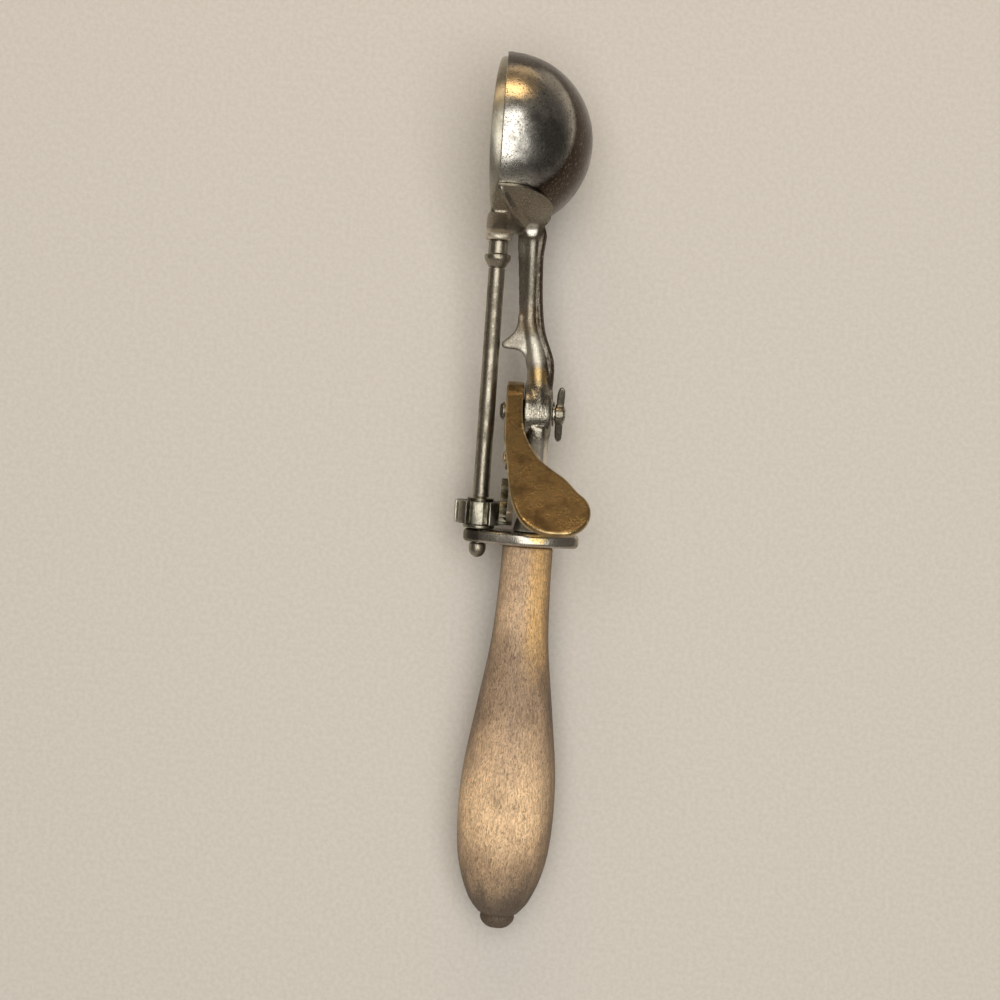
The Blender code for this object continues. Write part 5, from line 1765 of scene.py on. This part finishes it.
    def guard_plate(self) -> Mesh:
        """The oval plate with the rod's lower bearing in its nose.

        Returns:
            The plate.
        """
        far, nose, half, middle = self.guard_far, self.guard_nose, self.guard_half, HANDLE_X
        side = [(0.0, nose), (middle / 2, half - 1.6), (middle, half), ((middle + far) / 2, half - 1.7),
                (far - 1.2, 3.4)]
        outline = [(-nose, 0.0), *side, (far, 0.0), *[(x, -z) for x, z in reversed(side)]]
        plate = slab(flowing(outline, 12, closed=True), GUARD, shift(y=-GUARD / 2) @ FACING_Y)
        low = -GUARD - PAST
        return drilled(eased(plate, 1.3, 6), rod(JOURNAL + GAP, low, PAST, ALONG_Y, 48),
                       rod(TANG + GAP, low, PAST, shift(x=middle) @ ALONG_Y, 40))

    def build(self, bench: Bench) -> None:
        """Stand the casting and the guard plate.

        Args:
            bench: what puts the pieces in the frame.
        """
        bench.stand("shank_cast", self.casting(), CAST_NICKEL, Body.FIXED, Slot.CAST, "shank")
        bench.stand("guard_dressed", self.guard_plate(), GUARD_NICKEL, Body.FIXED, Slot.CAST, "guard_plate")


@dataclass(frozen=True)
class Pivot:
    """The screw through the lever's hub, with its washer and wing nut."""

    face: float = 5.5
    head: float = 2.85
    head_height: float = 1.5
    washer: float = 0.5
    washer_radius: float = 3.9
    nut: float = 3.1
    nut_height: float = 2.9
    wing_reach: float = 9.0
    wing: float = 1.5
    wing_turn: float = math.radians(20.0)
    slot: float = 0.6
    slot_depth: float = 0.5
    slot_turn: float = 0.5

    @property
    def centre(self) -> Matrix:
        """The pivot's middle line."""
        return shift(y=PIVOT_Y)

    def bolt(self) -> Mesh:
        """The screw with a round slotted head.

        Returns:
            The screw.
        """
        end = BOSS_FAR + self.washer + self.nut_height + 3 * GAP
        top = self.face - self.head_height
        wide = self.head
        profile = [(0, end), (SCREW, end, 0.4), (SCREW, self.face, 0.0), (wide, self.face, 0.1),
                   (wide, self.face - 0.5, 0.5), (wide * 0.8, top + 0.25, 0.6), (wide * 0.35, top, 0.4),
                   (0, top)]
        bolt = lathe(rounded(profile, 0.0), 48, self.centre @ ALONG_X)
        half, far = self.slot / 2, wide + PAST
        cutter = slab([(-far, -half), (far, -half), (far, half), (-far, half)], 2 * self.slot_depth,
                      self.centre @ shift(x=top) @ FACING_X @ Matrix.Rotation(self.slot_turn, 4, "Z"))
        return drilled(bolt, cutter)

    def ring(self) -> Mesh:
        """The washer under the wing nut."""
        low = BOSS_FAR + GAP
        seat = self.centre @ ALONG_X
        return flat_ring(SCREW + GAP, self.washer_radius, low, low + self.washer, 0.12, seat)

    def wings(self) -> Mesh:
        """The cast wing nut.

        Returns:
            The wing nut.
        """
        low = BOSS_FAR + self.washer + 2 * GAP
        high = low + self.nut_height
        reach = self.wing_reach
        hub = lathe(rounded([(0, high), (self.nut, high, 0.8), (self.nut, low, 0.2), (0, low)], 0.0), 64,
                    self.centre @ ALONG_X)
        root = self.nut * 0.6
        outline = [
            (low + 0.5, root), (low + 0.3, reach * 0.55), (low + 0.5, reach * 0.85), (low + 1.4, reach),
            (high - 0.4, reach * 0.92), (high - 0.2, reach * 0.66), (high - 0.6, root)]
        wings = [eased(slab(flowing(outline, 5, closed=True), self.wing,
                            self.centre @ Matrix.Rotation(self.wing_turn + math.pi * side, 4, "X")), 0.35, 3)
                 for side in range(2)]
        body = cast([hub, *wings], grain=0.2, passes=3)
        return drilled(body, rod(SCREW + GAP, 0, high + PAST, self.centre @ ALONG_X, 40))

    def build(self, bench: Bench) -> None:
        """Stand the screw, the washer and the wing nut.

        Args:
            bench: what puts the pieces in the frame.
        """
        bench.stand("pivot_bolt", self.bolt(), SMALL_NICKEL, Body.FIXED, Slot.SMALL, "pivot_screw")
        bench.stand("pivot_ring", self.ring(), SMALL_NICKEL, Body.FIXED, Slot.SMALL, "nut_washer")
        bench.stand("wings_cast", self.wings(), SMALL_NICKEL, Body.FIXED, Slot.SMALL, "wing_nut")


@dataclass(frozen=True)
class Handle:
    """The turned handle on its tang, leaning a little as in the photograph."""

    top: float = -4.5
    bore_end: float = -110.3
    end: float = -126.3
    lean: float = -0.011
    lean_at: float = -50.0
    swell: tuple[Point, ...] = (
        (7.9, -4.5), (8.2, -19.0), (9.2, -36.0), (12.3, -58.0), (14.5, -74.0), (15.2, -87.0), (14.6, -100.5),
        (12.7, -109.9), (9.6, -117.5), (6.6, -121.4))
    button: tuple[Point, ...] = (
        (5.1, -122.1, 0.3), (5.5, -123.1, 0.5), (5.3, -124.3, 0.5), (4.4, -125.5, 0.5), (3.4, -126.3, 0.3))

    def wood(self) -> Mesh:
        """The turned shape with its small button, bored for the tang.

        Returns:
            The handle.
        """
        swell = [(*point, 0.0) for point in flowing(self.swell, 10)]
        neck = swell[0][0]
        profile = [(0, self.top), (neck - 0.4, self.top, 0.0), (neck, self.top - 0.4, 0.0), *swell[1:],
                   *self.button, (0, self.end)]
        turn = Matrix.Rotation(self.lean, 4, "Z")
        seat = shift(HANDLE_X, self.lean_at) @ turn @ shift(y=-self.lean_at)
        wood = lathe(rounded(profile, 0.0), 128, seat @ ALONG_Y)
        return drilled(wood, rod(TANG + GAP, self.bore_end, self.top + PAST, shift(x=HANDLE_X) @ ALONG_Y))

    def build(self, bench: Bench) -> None:
        """Stand the handle and finish the hidden tang.

        Args:
            bench: what puts the pieces in the frame.
        """
        bench.stand("handle_turned", self.wood(), HANDLE_WOOD, Body.FIXED, Slot.WOOD, "handle", sharp=60.0)
        bench.dress("tang", TANG_IRON)


@dataclass(frozen=True)
class Softbox:
    """A rectangular lamp, in metres and watts."""

    name: str
    place: Point
    aim: Point
    size: Point
    power: float
    colour: str = "#FFFFFF"


@dataclass(frozen=True)
class Studio:
    """The paper floor, the lamps and the camera, in metres apart from the paper."""

    height: float = 0.53
    sensor: float = 36.0
    lens: float = 60.6
    lean: float = math.radians(4.09)
    middle: Point = (6.12, 9.4)
    lamps: tuple[Softbox, ...] = (
        Softbox("overhead softbox", (0.06, 0.02, 1.1), (0.0, 0.0, 0.02), (1.25, 0.95), 11.5, "#FFFEFA"),
        Softbox("warm end lamp", (-0.1, 0.95, 0.58), (0.0, 0.1, 0.02), (0.8, 0.32), 2.2, "#FFE2B4"),
        Softbox("pale end card", (-0.1, -1.0, 0.3), (0.0, 0.0, 0.02), (1.8, 0.8), 1.7, "#FFF7EC"))
    room: str = "#A8A29A"
    room_light: float = 0.35
    # The paper, in millimetres. It lies a hair below the tool, so that they don't share a face.
    paper: float = 4000.0
    paper_thickness: float = 1.0
    paper_drop: float = 0.05

    def floor(self) -> None:
        """Lay the paper."""
        half = self.paper / 2
        corners = [(-half, -half), (half, -half), (half, half), (-half, half)]
        mesh = slab(corners, self.paper_thickness, shift(z=-self.paper_thickness / 2 - self.paper_drop))
        mesh.transform(Matrix.Scale(MM, 4))
        mesh.materials.append(PAPER.material())
        paper = bpy.data.objects.new("paper_floor", mesh)
        bpy.context.scene.collection.objects.link(paper)

    def light(self) -> None:
        """Hang the lamps and set the room's light."""
        for lamp in self.lamps:
            data = bpy.data.lights.new(lamp.name, "AREA")
            data.shape = "RECTANGLE"
            data.size, data.size_y = lamp.size
            data.energy = lamp.power
            data.color = linear(lamp.colour)[:3]
            item = bpy.data.objects.new(lamp.name, data)
            item.location = lamp.place
            item.rotation_euler = (Vector(lamp.aim) - Vector(lamp.place)).to_track_quat("-Z", "Y").to_euler()
            bpy.context.scene.collection.objects.link(item)
        world = bpy.data.worlds.new("room")
        world.use_nodes = True
        bpy.context.scene.world = world
        back = world.node_tree.nodes["Background"]
        back.inputs["Color"].default_value = linear(self.room)
        back.inputs["Strength"].default_value = self.room_light

    def camera(self, lay: Lay) -> None:
        """Hang the camera straight above, turned so that the tool leans as in the photograph.

        Args:
            lay: where the tool lies.
        """
        data = bpy.data.cameras.new("camera")
        data.sensor_width = self.sensor
        data.lens = self.lens
        data.clip_start = 0.01
        item = bpy.data.objects.new("camera", data)
        middle = lay.tool @ Vector((self.middle[0] * MM, self.middle[1] * MM, 0.0))
        item.location = (middle.x, middle.y, middle.z + self.height)
        item.rotation_euler = (0.0, 0.0, self.lean)
        bpy.context.scene.collection.objects.link(item)
        bpy.context.scene.camera = item

    def build(self, lay: Lay) -> None:
        """Set the studio up round the tool.

        Args:
            lay: where the tool lies.
        """
        self.floor()
        self.light()
        self.camera(lay)
        bpy.context.scene.view_settings.view_transform = "Standard"


def main() -> None:
    """Build the scoop's pieces in order, then the studio."""
    logging.basicConfig(level=logging.INFO, format="%(message)s")
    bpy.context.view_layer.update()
    gears = Gears()
    bowl = Bowl()
    lay = Lay.from_joints(frame["joints"], gears.rest_angle)
    bench = Bench(lay)
    for assembly in (bowl, Scraper(bowl), Shank(bowl), gears, Lever(gears), Pivot(), Handle()):
        assembly.build(bench)
    Studio().build(lay)


if __name__ == "__main__":
    main()
